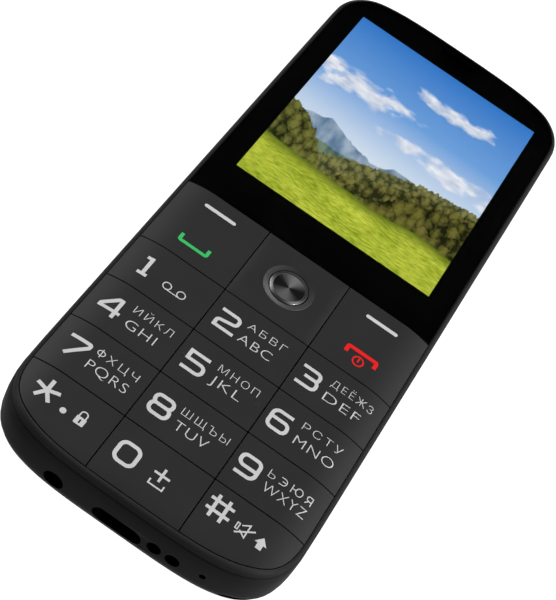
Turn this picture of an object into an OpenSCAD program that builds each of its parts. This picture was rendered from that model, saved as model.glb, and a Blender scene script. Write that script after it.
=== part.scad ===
// Feature phone with a tall screen and a large flat keypad.
// It lies on its back: +Z points out of the screen, +Y towards the earpiece end.
// The origin is the centre of the back face. All sizes are in millimetres.

/* [Body] */
// Width of the case
body_w = 54.5; // [50:0.5:60]
// Length of the case
body_l = 140.2; // [128:0.2:154]
// Thickness from the back face to the flat of the front face
body_t = 12.5; // [12.2:0.1:15]
// Length of the rounding at the earpiece end
top_corner_l = 11.5; // [10.5:0.5:14]
// Length of the rounding at the socket end
bottom_corner_l = 18.5; // [17:0.5:22]
// Radius of the edge round the back
back_r = 5.5; // [4.5:0.25:6.5]
// Wall of the middle housing
wall_t = 1.3; // [1.1:0.1:1.5]
// Height of the joint between the middle housing and the battery cover
split_z = 3.2; // [3:0.1:3.6]
// Thickness of the battery cover's floor
cover_t = 1.1; // [0.9:0.1:1.4]

/* [Front face] */
// Visible rim at each side of the face
rim_side = 1.2; // [1.1:0.05:1.5]
// Visible rim above the lens
rim_top = 1.7; // [1.5:0.1:2.4]
// Visible rim below the keypad
rim_bottom = 1.7; // [1.5:0.1:2.4]
// Gap between the face and the lip of the front frame
face_gap = 0.15; // [0.1:0.05:0.25]
// Length of the curve at the two sides
side_curve_l = 6.05; // [5:0.05:7]
// How far the face curves down at the sides
side_drop = 1; // [0.6:0.1:1.2]
// How far the face curves down at the two ends
end_drop = 0.4; // [0.3:0.1:0.8]
// Length of the curve at the two ends
end_curve_l = 3; // [2:0.5:5]
// Length of the face's rounding at the earpiece end
face_top_corner_l = 11.6; // [10:0.2:13]
// Length of the face's rounding at the socket end
face_bottom_corner_l = 16.5; // [14:0.5:19]
// Share of the case's length that lies below the seam between lens and keypad
seam_share = 0.4565; // [0.44:0.0005:0.47]
// Gap between neighbouring keys
seam_gap = 0.16; // [0.12:0.02:0.24]
// Gap round the confirm button
ok_gap = 0.22; // [0.2:0.02:0.3]

/* [Screen] */
// Distance of the lit screen from the sides of the case
screen_side = 5.915; // [5.715:0.1:7.515]
// Distance of the lit screen from the earpiece end of the case
screen_below_top = 9.38; // [9.08:0.1:11.08]
// Height of the lit screen above the keypad seam
screen_above_seam = 9.92; // [9:0.1:11]
// Thickness of the lens
lens_t = 1.4; // [1.3:0.1:1.8]
// Thickness of the black print and adhesive under the lens
mask_t = 0.15; // [0.1:0.05:0.3]
// Thickness of the liquid crystal cell
lcd_t = 0.95; // [0.8:0.05:1.1]
// Side border of the liquid crystal cell
lcd_side = 1.9; // [1.5:0.1:2]
// Border of the cell above the lit screen
lcd_top = 1.5; // [1:0.1:1.7]
// Border of the cell below the lit screen, for the driver chip
lcd_bottom = 5.3; // [4.5:0.1:5.6]
// Thickness of the backlight
backlight_t = 1.15; // [1:0.05:1.3]
// Thickness of the foam pad under the backlight
pad_t = 0.4; // [0.3:0.05:0.5]
// Length of the earpiece slot
ear_slot_l = 9; // [7:0.5:11]
// Width of the earpiece slot
ear_slot_w = 1; // [0.8:0.1:1.2]
// Distance of the earpiece slot from the top of the lens
ear_slot_from_top = 3; // [2.6:0.1:3.4]

/* [Keys] */
// Thickness of the keys
key_t = 1.9; // [1.8:0.1:2.1]
// Share of the keypad's height that the call row takes
call_row_share = 0.2761; // [0.265:0.0001:0.29]
// Share of the keypad's height that one of the upper number rows takes
key_row_share = 0.1796; // [0.175:0.0001:0.183]
// Share of the face's width that the middle column takes
middle_col_share = 0.3328; // [0.32:0.0001:0.345]
// Travel of a key
key_travel = 0.3; // [0.2:0.05:0.35]
// Radius of the confirm button
ok_r = 3.6; // [3.2:0.1:4]
// Width of the raised ring round the confirm button
ok_ring_w = 1; // [0.8:0.1:1.2]
// Height of the raised ring over the face
ok_ring_h = 0.2; // [0.1:0.05:0.3]
// Radius of a key's stem
stem_r = 2.2; // [1.8:0.1:2.4]
// Radius of a snap dome
dome_r = 2; // [1.6:0.1:2.2]
// Height of a snap dome
dome_h = 0.25; // [0.2:0.05:0.3]

/* [Sockets] */
// Place of the audio jack across the width
jack_x = -11.9; // [-14:0.1:-11]
// Bore of the audio jack
jack_d = 3.6; // [3.5:0.05:3.7]
// Width and height of the audio jack's body
jack_size = 4.8; // [4.7:0.1:5]
// Length of the audio jack's body
jack_l = 12.5; // [11:0.5:13]
// Place of the charging socket across the width
usb_x = 0.2; // [-1:0.1:0.4]
// Width of the charging socket
usb_w = 8.9; // [8.6:0.1:9]
// Height of the charging socket
usb_h = 3.2; // [3.1:0.05:3.3]
// Length of the charging socket
usb_l = 7.6; // [7:0.1:8]
// Middle of the pair of strap holes across the width
strap_x = 8.7; // [8.5:0.1:9.5]
// Distance between the two strap holes
strap_pitch = 3.4; // [3.3:0.1:4]
// Diameter of a strap hole
strap_d = 2.6; // [2.2:0.1:2.6]
// Place of the microphone hole across the width
mic_x = 15.65; // [15:0.05:17]
// Diameter of the microphone hole
mic_d = 1.15; // [0.8:0.05:1.3]
// Middle of the pry notch of the cover across the width
notch_x = 21.8; // [20.5:0.1:22]
// Width of the pry notch of the cover
notch_w = 6; // [5:0.1:6.5]

/* [Inside] */
// Thickness of the circuit board
board_t = 1; // [0.8:0.1:1.1]
// Thickness of the bay floor
floor_t = 0.8; // [0.7:0.1:0.9]
// Width of the rail at each side of the battery, up to the side of the case
rail_w = 5.25; // [5:0.05:7]
// Finger room between the battery contacts and the card sockets
finger_room = 5.5; // [0.6:0.1:8]
// Length of the socket chamber between the end wall and the battery bay
socket_zone_l = 20.3; // [20:0.1:21]
// Length of the camera chamber at the earpiece end
camera_zone_l = 26.1; // [25:0.1:27]
// Distance of the camera from the earpiece end
camera_from_top = 16; // [15:0.5:17]
// Radius of the camera window
camera_r = 3.7; // [3.4:0.1:4]
// Width of the metal ring round the camera window
camera_ring_w = 1; // [0.8:0.1:1.2]
// Radius of the torch light
torch_r = 1.4; // [1.2:0.1:1.6]
// Radius of a housing screw's shank
screw_r = 0.7; // [0.6:0.05:0.8]
// Distance of the housing screws from the side wall
screw_from_side = 2.65; // [2.6:0.05:2.8]

/* [Hidden] */
$fn = 48;

// Small clearance of pieces that are set in by hand, and overshoot of cuts
fit = 0.1;
loose = 0.3;
over = 1;

// Roundness of the two ends of the outline, as powers of a superellipse
top_power = 3;
bottom_power = 4;
corner_steps = 32;
crown_steps = 8;

// Outline of the face in plan
face_hw = body_w / 2 - rim_side;
face_top = body_l / 2 - rim_top;
face_bottom = -body_l / 2 + rim_bottom;
face_flat_hw = face_hw - side_curve_l;
seam_y = -body_l / 2 + seam_share * body_l;
screen_w = body_w - 2 * screen_side;
screen_y0 = seam_y + screen_above_seam;
screen_y1 = body_l / 2 - screen_below_top;
screen_h = screen_y1 - screen_y0;

// Rows and columns of the keypad
keypad_h = seam_y - face_bottom;
call_row_h = keypad_h * call_row_share;
key_row_h = keypad_h * key_row_share;
middle_col_w = 2 * face_hw * middle_col_share;

// Levels from the front face down to the bay floor
face_z = body_t;
key_base_z = face_z - key_t;
lens_base_z = face_z - lens_t;
ledge_z = lens_base_z - mask_t;
lcd_top_z = ledge_z - fit / 2;
lcd_base_z = lcd_top_z - lcd_t;
backlight_base_z = lcd_base_z - backlight_t;
board_top_z = backlight_base_z - pad_t;
board_base_z = board_top_z - board_t;
board_clear = 0.4;
floor_top_z = board_base_z - board_clear;
floor_base_z = floor_top_z - floor_t;

// Front frame: lip, skirt and ledge
lip_drop = 0.9;
lip_z = face_z - lip_drop;
lip_curve_h = 0.8;
crease_z = lip_z - lip_curve_h;
crease_f = 0.4;
skirt_f = 0.54;
skirt_h = 1.6;
lip_inner_f = 1 - face_gap / rim_side;
ledge_t = 0.95;
ledge_base_z = ledge_z - ledge_t;
ledge_f = 0.7;

// Middle housing: shoulder under the crease and recess for the skirt
rim_top_z = crease_z - fit / 2;
shoulder_h = 2.5;
skirt_fit_f = 0.04;
recess_f = skirt_f - skirt_fit_f;
recess_z = crease_z - skirt_h - fit;

// Battery bay and the two end chambers
bay_y0 = -body_l / 2 + socket_zone_l;
bay_y1 = body_l / 2 - camera_zone_l;
battery_w = body_w - 2 * rail_w;
bay_hw = battery_w / 2 + loose;
chamber_wall = 1;
jack_z = board_top_z - fit - jack_size / 2;
chamber_z = jack_z - jack_size / 2 - fit;
chamber_floor_t = 0.7;
chamber_inset = 2.4;

// Key stack between the board and the keys
film_t = 0.1;
film_z = board_top_z + film_t;
stem_end_z = board_top_z + dome_h + key_travel + fit / 2;
mat_t = 0.4;
mat_drop = 0.7;
mat_inset = 3;
mat_top_z = key_base_z - mat_drop;
mat_base_z = mat_top_z - mat_t;
seat_z = key_base_z - key_travel - fit / 2;
rib_t = 0.8;
collar_t = 0.7;
stem_clear = 0.4;
pad_stem_y = call_row_h / 2 - stem_r - stem_clear;
nav_stem_x = (ok_r + ok_gap + (middle_col_w - seam_gap) / 2) / 2;
nav_bar_hw = nav_stem_x - stem_r / 2 - 3 * loose;
nav_bar_hl = pad_stem_y + stem_r / 2 + loose;
nav_bar_drop = 0.5;
nav_bar_z = key_base_z - nav_bar_drop;
nav_bar_t = 0.5;
nav_fulcrum_hl = 1.2;

// Backlight lamps of the keypad
led_size = [1, 0.6, 0.4];
led_room = 1.8;
led_x = middle_col_w / 2 + 3;

// Columns and rows of the keypad, and the middles of its cells
col_edge = [-face_hw - seam_gap / 2, -middle_col_w / 2, middle_col_w / 2, face_hw + seam_gap / 2];
row_edge = concat([seam_y], [for (i = [0:3]) seam_y - call_row_h - i * key_row_h], [face_bottom - seam_gap]);
col_mid = [-(face_hw + middle_col_w / 2) / 2, 0, (face_hw + middle_col_w / 2) / 2];
row_mid = concat([seam_y - call_row_h / 2], [for (i = [0:3]) seam_y - call_row_h - (i + 0.5) * key_row_h]);

// Housing screws: one pair by the battery's end, one under the lens seam, one above the board
boss_wall = 0.55;
boss_r = screw_r + boss_wall;
head_r = 2 * screw_r - fit;
head_t = 0.6;
head_z = floor_base_z - fit;
screw_x = body_w / 2 - screw_from_side;
low_screw_up = 3.8;
top_screw_x = 15;
low_screw_y = bay_y0 + low_screw_up;
mid_screw_y = screen_y0 - lcd_bottom - loose - boss_r;
top_screw_y = screen_y1 + lcd_top + loose + boss_r;
screw_places = [for (side = [-1, 1]) each [[side * screw_x, low_screw_y], [side * screw_x, mid_screw_y],
                                           [side * top_screw_x, top_screw_y]]];
pillar_wall = 0.75;

// Circuit board outline
board_hw = screw_x - boss_r - loose / 2;
board_end_gap = 2.8;
board_y0 = -body_l / 2 + wall_t + board_end_gap;
board_y1 = screen_y1 + lcd_top;
board_inset = 2.6;
rest_r = 1.2;

// Latch tongues of the battery cover and their slots in the side rails
latch_t = 0.8;
latch_l = 6;
latch_x = bay_hw + 1.6;
latch_from_end = 20;
latch_z = floor_base_z - 1;
latch_y = [bay_y0 + latch_from_end, bay_y1 - latch_from_end];

// Sockets in the end wall
usb_z = board_base_z - usb_h / 2;
strap_lift = 0.5;
strap_z = board_base_z - strap_d / 2 + strap_lift;
strap_room_l = 2.8;
mic_drop = 0.25;
mic_z = board_base_z - mic_drop;
mic_size = [3.4, 2.6, 1];
mic_set_in = 2.6;
inner_end_y = -body_l / 2 + wall_t;
jack_front_y = end_wall_y(abs(jack_x) + jack_size / 2, wall_t) + fit;
usb_recess = 0.5;
notch_depth = 0.8;
notch_h = 1.5;

// Camera chamber
camera_y = body_l / 2 - camera_from_top;
camera_size = 8.5;
barrel_r = camera_r - 0.5;
flash_led_h = 0.8;
speaker_size = [15, 12, 3.2];
speaker_edge = 1;
speaker_x = -board_hw + speaker_edge + speaker_size[0] / 2;
slot_count = 5;
slot_pitch = 1.8;
slot_w = 0.9;
slot_l = 9;
mesh_t = 0.2;
can_size = [11, 14, 1.7];
can_edge = 0.7;
can_x = board_hw - can_edge - can_size[0] / 2;
torch_x = (camera_size / 2 + can_x - can_size[0] / 2) / 2;

// Battery end: contacts, card sockets
contact_l = 4.5;
contact_w = 12;
contact_drop = 2.8;
socket_l = 18;
socket_drop = 1.4;
socket_end_gap = 1.2;
socket_y = bay_y1 - socket_end_gap - socket_l / 2;
socket_gap = 1.3;
card_share = 0.28;
card_socket_w = battery_w * card_share;
sim_socket_w = (battery_w - card_socket_w) / 2 - socket_gap;
socket_w = [sim_socket_w, card_socket_w, sim_socket_w];
socket_x = [-(battery_w - sim_socket_w) / 2, 0, (battery_w - sim_socket_w) / 2];
battery_y0 = bay_y0 + loose;
battery_y1 = socket_y - socket_l / 2 - finger_room - contact_l - loose;
battery_l = battery_y1 - battery_y0;
battery_z0 = cover_t + loose;
battery_z1 = floor_base_z - fit;
rest_y = [battery_y0 + battery_l / 8, battery_y0 + battery_l * 5 / 8, socket_y - socket_l / 2 - 2 * rest_r];

// Antenna carrier beside the audio jack
antenna_w = 5;
antenna_l = 10.4;
antenna_x = jack_x - jack_size / 2 - 2 * loose - antenna_w;

// Earpiece capsule
earpiece_w = 12;
earpiece_l = 4.4;
earpiece_t = 2;

// Vibration motor
motor_r = 1.8;
motor_l = 6;
motor_x = 13;
motor_from_bay = 5;
motor_y = bay_y0 - motor_from_bay;
motor_z = chamber_z + motor_r + fit;
weight_l = 3;
weight_gap = 0.6;

function mix(a, b, f) = a + (b - a) * f;
function signed_pow(v, p) = sign(v) * pow(abs(v), p);

// Closed outline with straight sides and superellipse ends
function outline(half_w, top, bottom, top_l, bottom_l) = concat(
    [for (i = [0:corner_steps]) let (t = 180 * i / corner_steps)
        [half_w * signed_pow(cos(t), 2 / top_power),
         top - top_l + top_l * signed_pow(sin(t), 2 / top_power)]],
    [for (i = [0:corner_steps]) let (t = 180 + 180 * i / corner_steps)
        [half_w * signed_pow(cos(t), 2 / bottom_power),
         bottom + bottom_l + bottom_l * signed_pow(sin(t), 2 / bottom_power)]]);

// Outline of the case, set in by d
function wall_outline(d) = outline(body_w / 2 - d, body_l / 2 - d, -body_l / 2 + d,
                                   top_corner_l - d, bottom_corner_l - d);

// Outline of the face, let out by d
function face_outline(d) = outline(face_hw + d, face_top + d, face_bottom - d,
                                   face_top_corner_l + d, face_bottom_corner_l + d);

// Outline between the case, at f = 0, and the face, at f = 1
function rim_outline(f) = outline(mix(body_w / 2, face_hw, f), mix(body_l / 2, face_top, f),
                                  mix(-body_l / 2, face_bottom, f),
                                  mix(top_corner_l, face_top_corner_l, f),
                                  mix(bottom_corner_l, face_bottom_corner_l, f));

// Inset of the rounded back edge at height z
function back_inset(z) = z >= back_r ? 0 : back_r - sqrt(back_r * back_r - (back_r - z) * (back_r - z));

// Place along Y of the socket end's wall at x, set in by d
function end_wall_y(x, d) = -body_l / 2 + d + (bottom_corner_l - d)
    * (1 - pow(1 - pow(abs(x) / (body_w / 2 - d), bottom_power), 1 / bottom_power));

// Fall of an arc that starts flat and falls by drop over a length
function arc_fall(d, length, drop) = d <= 0 ? 0 :
    let (r = (length * length + drop * drop) / (2 * drop)) r - sqrt(r * r - d * d);

// Points of a stack of outlines, each given as [outline, height]
function stack_points(stack) = [for (s = stack) for (p = s[0]) [p[0], p[1], s[1]]];

// Walls between neighbouring outlines of a stack; wrap also joins the last to the first
function stack_walls(levels, n, wrap) = [for (k = [0:levels - (wrap ? 1 : 2)]) for (i = [0:n - 1])
    let (up = (k + 1) % levels, j = (i + 1) % n) [k * n + i, up * n + i, up * n + j, k * n + j]];

// Solid loft through a stack of outlines
module loft(stack) {
    n = len(stack[0][0]);
    levels = len(stack);
    caps = [[for (i = [0:n - 1]) i], [for (i = [n - 1:-1:0]) (levels - 1) * n + i]];
    polyhedron(stack_points(stack), concat(stack_walls(levels, n, false), caps));
}

// Closed ring whose section is the loop of the stack
module ring_loft(stack) {
    n = len(stack[0][0]);
    polyhedron(stack_points(stack), stack_walls(len(stack), n, true));
}

// Plain box between two corners
module block(low, high) {
    translate(low) cube(high - low);
}

// Straight wall with the given outline between two heights
module prism(points, z0, z1) {
    translate([0, 0, z0]) linear_extrude(z1 - z0) polygon(points);
}

// Rod along Y with its axis at x, z
module rod_y(x, z, r, y0, y1) {
    translate([x, y0, z]) rotate([-90, 0, 0]) cylinder(r = r, h = y1 - y0);
}

// Rod with flattened round-ended section along Y
module slot_rod_y(x, z, w, h, y0, y1) {
    straight = (w - h) / 2;
    for (side = [-1, 1]) rod_y(x + side * straight, z, h / 2, y0, y1);
    block([x - straight, y0, z - h / 2], [x + straight, y1, z + h / 2]);
}

// Upright disc between two heights
module disc(x, y, r, z0, z1) {
    translate([x, y, z0]) cylinder(r = r, h = z1 - z0);
}

// Space under the face as it curves down at the sides and at both ends
module face_crown() {
    side_pts = [for (i = [0:crown_steps]) let (d = (side_curve_l + fit) * i / crown_steps)
        [face_flat_hw + d, face_z - arc_fall(d, side_curve_l, side_drop)]];
    end_pts = [for (i = [0:crown_steps]) let (d = (end_curve_l + fit) * i / crown_steps)
        [d - end_curve_l, face_z - arc_fall(d, end_curve_l, end_drop)]];
    side_low = [[face_hw + fit, 0], [-face_hw - fit, 0]];
    mirrored = [for (i = [crown_steps:-1:0]) [-side_pts[i][0], side_pts[i][1]]];
    top_end = [for (p = end_pts) [face_top + p[0], p[1]]];
    bottom_end = [for (i = [crown_steps:-1:0]) [face_bottom - end_pts[i][0], end_pts[i][1]]];
    end_low = [[face_top + fit, 0], [face_bottom - fit, 0]];
    intersection() {
        rotate([90, 0, 0]) translate([0, 0, -body_l / 2]) linear_extrude(body_l)
            polygon(concat(side_pts, side_low, mirrored));
        rotate([90, 0, 90]) translate([0, 0, -body_w / 2]) linear_extrude(body_w)
            polygon(concat(top_end, end_low, bottom_end));
    }
}

// Plan of one keypad cell, inside the outline of the face
module cell_plan(col, row) {
    w = col_edge[col + 1] - col_edge[col];
    h = row_edge[row] - row_edge[row + 1];
    intersection() {
        polygon(face_outline(0));
        translate([col_edge[col] + seam_gap / 2, row_edge[row + 1] + seam_gap / 2])
            square([w - seam_gap, h - seam_gap]);
    }
}

// Cap of a key: its cell under the curve of the face
module key_cap(col, row) {
    curved = col != 1 || row == 4;
    intersection() {
        translate([0, 0, key_base_z]) linear_extrude(key_t) cell_plan(col, row);
        if (curved) face_crown();
    }
}

// Stem that reaches from a key down to just above its dome
module stem(x, y, r) {
    disc(x, y, r, stem_end_z, key_base_z + fit);
}

module number_key(col, row) {
    color("#3c3c3e") {
        key_cap(col, row);
        stem(col_mid[col], row_mid[row], stem_r);
    }
}

// Rocker pad: the soft key above, call or end below
module rocker_pad(col) {
    color("#3c3c3e") {
        key_cap(col, 0);
        for (side = [-1, 1]) stem(col_mid[col], row_mid[0] + side * pad_stem_y, stem_r);
    }
}

module nav_plate() {
    hole_r = ok_r + ok_gap;
    ring_r = hole_r + ok_ring_w;
    color("#3c3c3e") difference() {
        union() {
            key_cap(1, 0);
            disc(0, row_mid[0], ring_r, face_z - fit, face_z + ok_ring_h);
            for (side = [-1, 1]) stem(side * nav_stem_x, row_mid[0], stem_r / 2);
        }
        disc(0, row_mid[0], hole_r, key_base_z - over, face_z + over);
    }
}

module nav_base() {
    color("#5a5a5c") difference() {
        union() {
            block([-nav_bar_hw, row_mid[0] - nav_bar_hl, nav_bar_z - nav_bar_t],
                  [nav_bar_hw, row_mid[0] + nav_bar_hl, nav_bar_z]);
            for (side = [-1, 1]) {
                fulcrum_y = row_mid[0] + side * (nav_bar_hl - nav_fulcrum_hl);
                block([-nav_fulcrum_hl, fulcrum_y - nav_fulcrum_hl, nav_bar_z - fit],
                      [nav_fulcrum_hl, fulcrum_y + nav_fulcrum_hl, key_base_z - loose]);
                disc(0, row_mid[0] + side * pad_stem_y, stem_r / 2, stem_end_z, nav_bar_z - fit);
            }
        }
        disc(0, row_mid[0], stem_r + stem_clear, stem_end_z - over, face_z);
    }
}

module ok_button() {
    bevel = 0.3;
    ok_stem_r = stem_r - 0.5;
    top_z = face_z + ok_ring_h;
    color("silver") {
        disc(0, row_mid[0], ok_r, key_base_z + fit, top_z - bevel);
        translate([0, row_mid[0], top_z - bevel]) cylinder(r1 = ok_r, r2 = ok_r - bevel, h = bevel);
        disc(0, row_mid[0], ok_stem_r, stem_end_z, key_base_z + 2 * fit);
    }
}

// Places of all snap domes on the board
function number_places() = [for (row = [1:4]) for (col = [0:2]) [col_mid[col], row_mid[row]]];
function rocker_places() = [for (col = [0, 2]) for (side = [-1, 1])
    [col_mid[col], row_mid[0] + side * pad_stem_y]];
function nav_places() = [[0, row_mid[0]], [nav_stem_x, row_mid[0]], [-nav_stem_x, row_mid[0]],
                         [0, row_mid[0] + pad_stem_y], [0, row_mid[0] - pad_stem_y]];

module key_domes() {
    flat_r = dome_r * 0.45;
    color("#c9c6bb") for (p = concat(number_places(), rocker_places(), nav_places()))
        translate([p[0], p[1], board_top_z]) cylinder(r1 = dome_r, r2 = flat_r, h = dome_h);
}

// Plan of the keypad layers on the board
module keypad_plan(inset) {
    intersection() {
        polygon(face_outline(-inset));
        translate([-board_hw, face_bottom]) square([2 * board_hw, seam_y - face_bottom - 2 * inset / 3]);
    }
}

module dome_film() {
    color("#d8d4c8") translate([0, 0, board_top_z]) linear_extrude(film_t) difference() {
        keypad_plan(mat_inset);
        for (p = concat(number_places(), rocker_places(), nav_places())) translate(p) circle(dome_r + fit);
        for (row = [1:4]) for (side = [-1, 1]) translate([side * led_x, row_mid[row]]) square(led_room, true);
    }
}

module key_leds() {
    color("white") for (row = [1:4]) for (side = [-1, 1])
        translate([side * led_x, row_mid[row], board_top_z + led_size[2] / 2]) cube(led_size, true);
}

module key_mat() {
    hole_r = stem_r + stem_clear;
    nav_half = [nav_stem_x + stem_r / 2 + stem_clear, nav_bar_hl + stem_clear];
    color("#8d8d90") difference() {
        union() {
            translate([0, 0, mat_base_z]) linear_extrude(mat_t) keypad_plan(mat_inset);
            translate([0, 0, film_z]) linear_extrude(mat_base_z - film_z + fit) difference() {
                keypad_plan(mat_inset);
                for (row = [0:4]) for (col = [0:2]) mat_pocket(col, row);
            }
            for (p = number_places()) disc(p[0], p[1], hole_r + collar_t, mat_base_z, seat_z);
            for (col = [0, 2]) block([col_mid[col] - stem_r, row_mid[0] - rib_t / 2, mat_base_z],
                                     [col_mid[col] + stem_r, row_mid[0] + rib_t / 2, key_base_z - loose]);
        }
        for (p = concat(number_places(), rocker_places())) disc(p[0], p[1], hole_r, film_z - over, face_z);
        block([-nav_half[0], row_mid[0] - nav_half[1], film_z - over],
              [nav_half[0], row_mid[0] + nav_half[1], face_z]);
    }
}

// Hollow under one key in the mat, leaving ribs along the seams and a wider one under the lens
module mat_pocket(col, row) {
    ribs = row == 0 ? 4 : 1;
    x0 = max(col_edge[col] + rib_t / 2, -board_hw + rib_t);
    x1 = min(col_edge[col + 1] - rib_t / 2, board_hw - rib_t);
    intersection() {
        polygon(face_outline(-mat_inset - rib_t));
        translate([x0, row_edge[row + 1] + rib_t / 2])
            square([x1 - x0, row_edge[row] - row_edge[row + 1] - ribs * rib_t]);
    }
}

module front_frame() {
    lip_span = 0.9;
    skirt_base_z = crease_z - skirt_h;
    outer = rim_outline(skirt_f);
    inner = rim_outline(lip_inner_f);
    lip = [for (a = [0:22.5:90]) [rim_outline(mix(crease_f, lip_inner_f, (1 - cos(a)) * lip_span)),
                                  crease_z + lip_curve_h * sin(a)]];
    stack = concat([[outer, skirt_base_z], [outer, crease_z]], lip,
                   [[inner, lip_z - fit / 2], [inner, skirt_base_z]]);
    opening_hw = screen_w / 2 + lcd_side + loose / 2;
    opening_y0 = screen_y0 - lcd_bottom - loose / 2;
    opening_y1 = screen_y1 + lcd_top + loose / 2;
    web_x = face_hw + 2 * face_gap;
    web_z = recess_z + 2 * fit;
    color("#3a3a3c") difference() {
        union() {
            ring_loft(stack);
            translate([0, 0, ledge_base_z]) linear_extrude(ledge_t) difference() {
                intersection() {
                    polygon(rim_outline(ledge_f));
                    translate([-body_w / 2, seam_y + fit]) square([body_w, body_l]);
                }
                translate([-opening_hw, opening_y0]) square([2 * opening_hw, opening_y1 - opening_y0]);
            }
            for (p = screw_places) disc(p[0], p[1], boss_r, floor_top_z + fit, ledge_base_z + fit);
            for (side = [-1, 1])
                translate([side * (screw_x + web_x) / 2, low_screw_y, (web_z + ledge_base_z) / 2])
                    cube([web_x - screw_x, 2 * boss_r, ledge_base_z - web_z], true);
        }
        for (p = screw_places) disc(p[0], p[1], screw_r + fit / 2, floor_top_z - over, ledge_base_z - loose);
        ear_slot(ledge_base_z - over, ledge_z + over, -fit);
    }
}

// Sound slot of the earpiece, let out by d
module ear_slot(z0, z1, d) {
    half = (ear_slot_l - ear_slot_w) / 2;
    y = face_top - ear_slot_from_top;
    r = ear_slot_w / 2 + d;
    for (side = [-1, 1]) disc(side * half, y, r, z0, z1);
    block([-half, y - r, z0], [half, y + r, z1]);
}

module screen_lens() {
    color([0.1, 0.1, 0.12, 0.35]) difference() {
        intersection() {
            translate([0, 0, lens_base_z]) linear_extrude(lens_t) lens_plan(0);
            face_crown();
        }
        ear_slot(lens_base_z - over, face_z + over, 0);
    }
}

// Plan of the lens, set in by d
module lens_plan(d) {
    intersection() {
        polygon(face_outline(-d));
        translate([-body_w / 2, seam_y + seam_gap / 2 + d]) square([body_w, body_l]);
    }
}

module lens_mask() {
    color("#050505") difference() {
        translate([0, 0, ledge_z]) linear_extrude(mask_t) difference() {
            lens_plan(fit);
            translate([-screen_w / 2, screen_y0]) square([screen_w, screen_h]);
        }
        ear_slot(ledge_z - over, lens_base_z + over, -2 * fit);
    }
}

module lcd_panel() {
    color("#6fb4e8") block([-screen_w / 2 - lcd_side, screen_y0 - lcd_bottom, lcd_base_z],
                           [screen_w / 2 + lcd_side, screen_y1 + lcd_top, lcd_top_z]);
}

module backlight_unit() {
    rim = 0.5;
    lip = 0.6;
    x = screen_w / 2 + lcd_side;
    color("#e4e4e2") difference() {
        block([-x, screen_y0 - lcd_bottom, backlight_base_z], [x, screen_y1 + lcd_top, lcd_base_z]);
        block([-x + rim, screen_y0 - lcd_bottom + rim, backlight_base_z + lip],
              [x - rim, screen_y0 - rim, lcd_base_z + over]);
    }
}

module display_pad() {
    border = 2;
    x = screen_w / 2 - fit;
    color("#2a2a2a") difference() {
        block([-x, screen_y0 + border, board_top_z], [x, screen_y1, backlight_base_z]);
        block([-x + border, screen_y0 + 2 * border, board_top_z - over],
              [x - border, screen_y1 - border, backlight_base_z + over]);
    }
}

module display_flex() {
    flex_t = 0.12;
    flex_hw = 8;
    plug = [12, 2.6, 0.9];
    y0 = seam_y + ledge_t;
    color("#b5651d") {
        block([-flex_hw, y0, board_top_z], [flex_hw, screen_y0, board_top_z + flex_t]);
        translate([-plug[0] / 2, y0 + loose, board_top_z + flex_t / 2]) cube(plug);
    }
}

module earpiece() {
    frame = 1;
    color("#a8a8a4") translate([0, face_top - ear_slot_from_top, ledge_base_z - fit]) difference() {
        translate([0, 0, -earpiece_t / 2]) cube([earpiece_w, earpiece_l, earpiece_t], true);
        cube([earpiece_w - 2 * frame, earpiece_l - 2 * frame, earpiece_t], true);
    }
}

module earpiece_mesh() {
    color("#1c1c1c") ear_slot(lens_base_z, lens_base_z + mesh_t, -fit);
}

module mid_housing() {
    low = [for (z = [split_z, mix(split_z, back_r, 0.5), back_r]) [wall_outline(back_inset(z)), z]];
    shoulder = [for (a = [0, 35, 65, 90]) [rim_outline(crease_f * (1 - cos(a))),
                                           rim_top_z - shoulder_h * (1 - sin(a))]];
    color("#323234") difference() {
        union() {
            difference() {
                union() {
                    loft(concat(low, shoulder));
                    chamber_floor();
                }
                housing_room();
            }
            board_rests();
            screw_pillars();
        }
        housing_ports();
        housing_windows();
        latch_slots();
        for (p = screw_places) {
            disc(p[0], p[1], screw_r + loose / 2, 0, floor_top_z + over);
            disc(p[0], p[1], head_r + loose / 2, 0, head_z);
        }
    }
}

// Pads on the bay floor that carry the board
module board_rests() {
    for (side = [-1, 1]) for (y = rest_y)
        disc(side * (board_hw - 2 * rest_r), y, rest_r, floor_top_z - fit, board_base_z);
}

// Hollow pillars for the two screws above the board
module screw_pillars() {
    for (side = [-1, 1])
        disc(side * top_screw_x, top_screw_y, head_r + pillar_wall, chamber_z - fit, floor_top_z);
}

// Slots of the side rails that take the cover's tongues
module latch_slots() {
    for (side = [-1, 1]) for (y = latch_y)
        translate([side * latch_x, y, latch_z / 2])
            cube([latch_t + 2 * loose, latch_l + 2 * loose, latch_z + 2 * loose], true);
}

// Floor plates of the two end chambers, which hang a little below the split
module chamber_floor() {
    intersection() {
        prism(wall_outline(chamber_inset), chamber_z - chamber_floor_t, split_z + fit);
        union() {
            block([-body_w, -body_l, 0], [body_w, bay_y0, body_t]);
            block([-body_w, bay_y1, 0], [body_w, body_l, body_t]);
        }
    }
}

// Everything hollow inside the middle housing
module housing_room() {
    prism(wall_outline(wall_t), floor_top_z, face_z);
    prism(rim_outline(recess_f), recess_z, face_z);
    intersection() {
        prism(wall_outline(wall_t), chamber_z, floor_top_z + over);
        union() {
            block([-body_w, -body_l, 0], [body_w, bay_y0 - chamber_wall, body_t]);
            block([-body_w, bay_y1 + chamber_wall, 0], [body_w, body_l, body_t]);
        }
    }
    block([-bay_hw, bay_y0, -over], [bay_hw, bay_y1, floor_base_z]);
}

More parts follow.
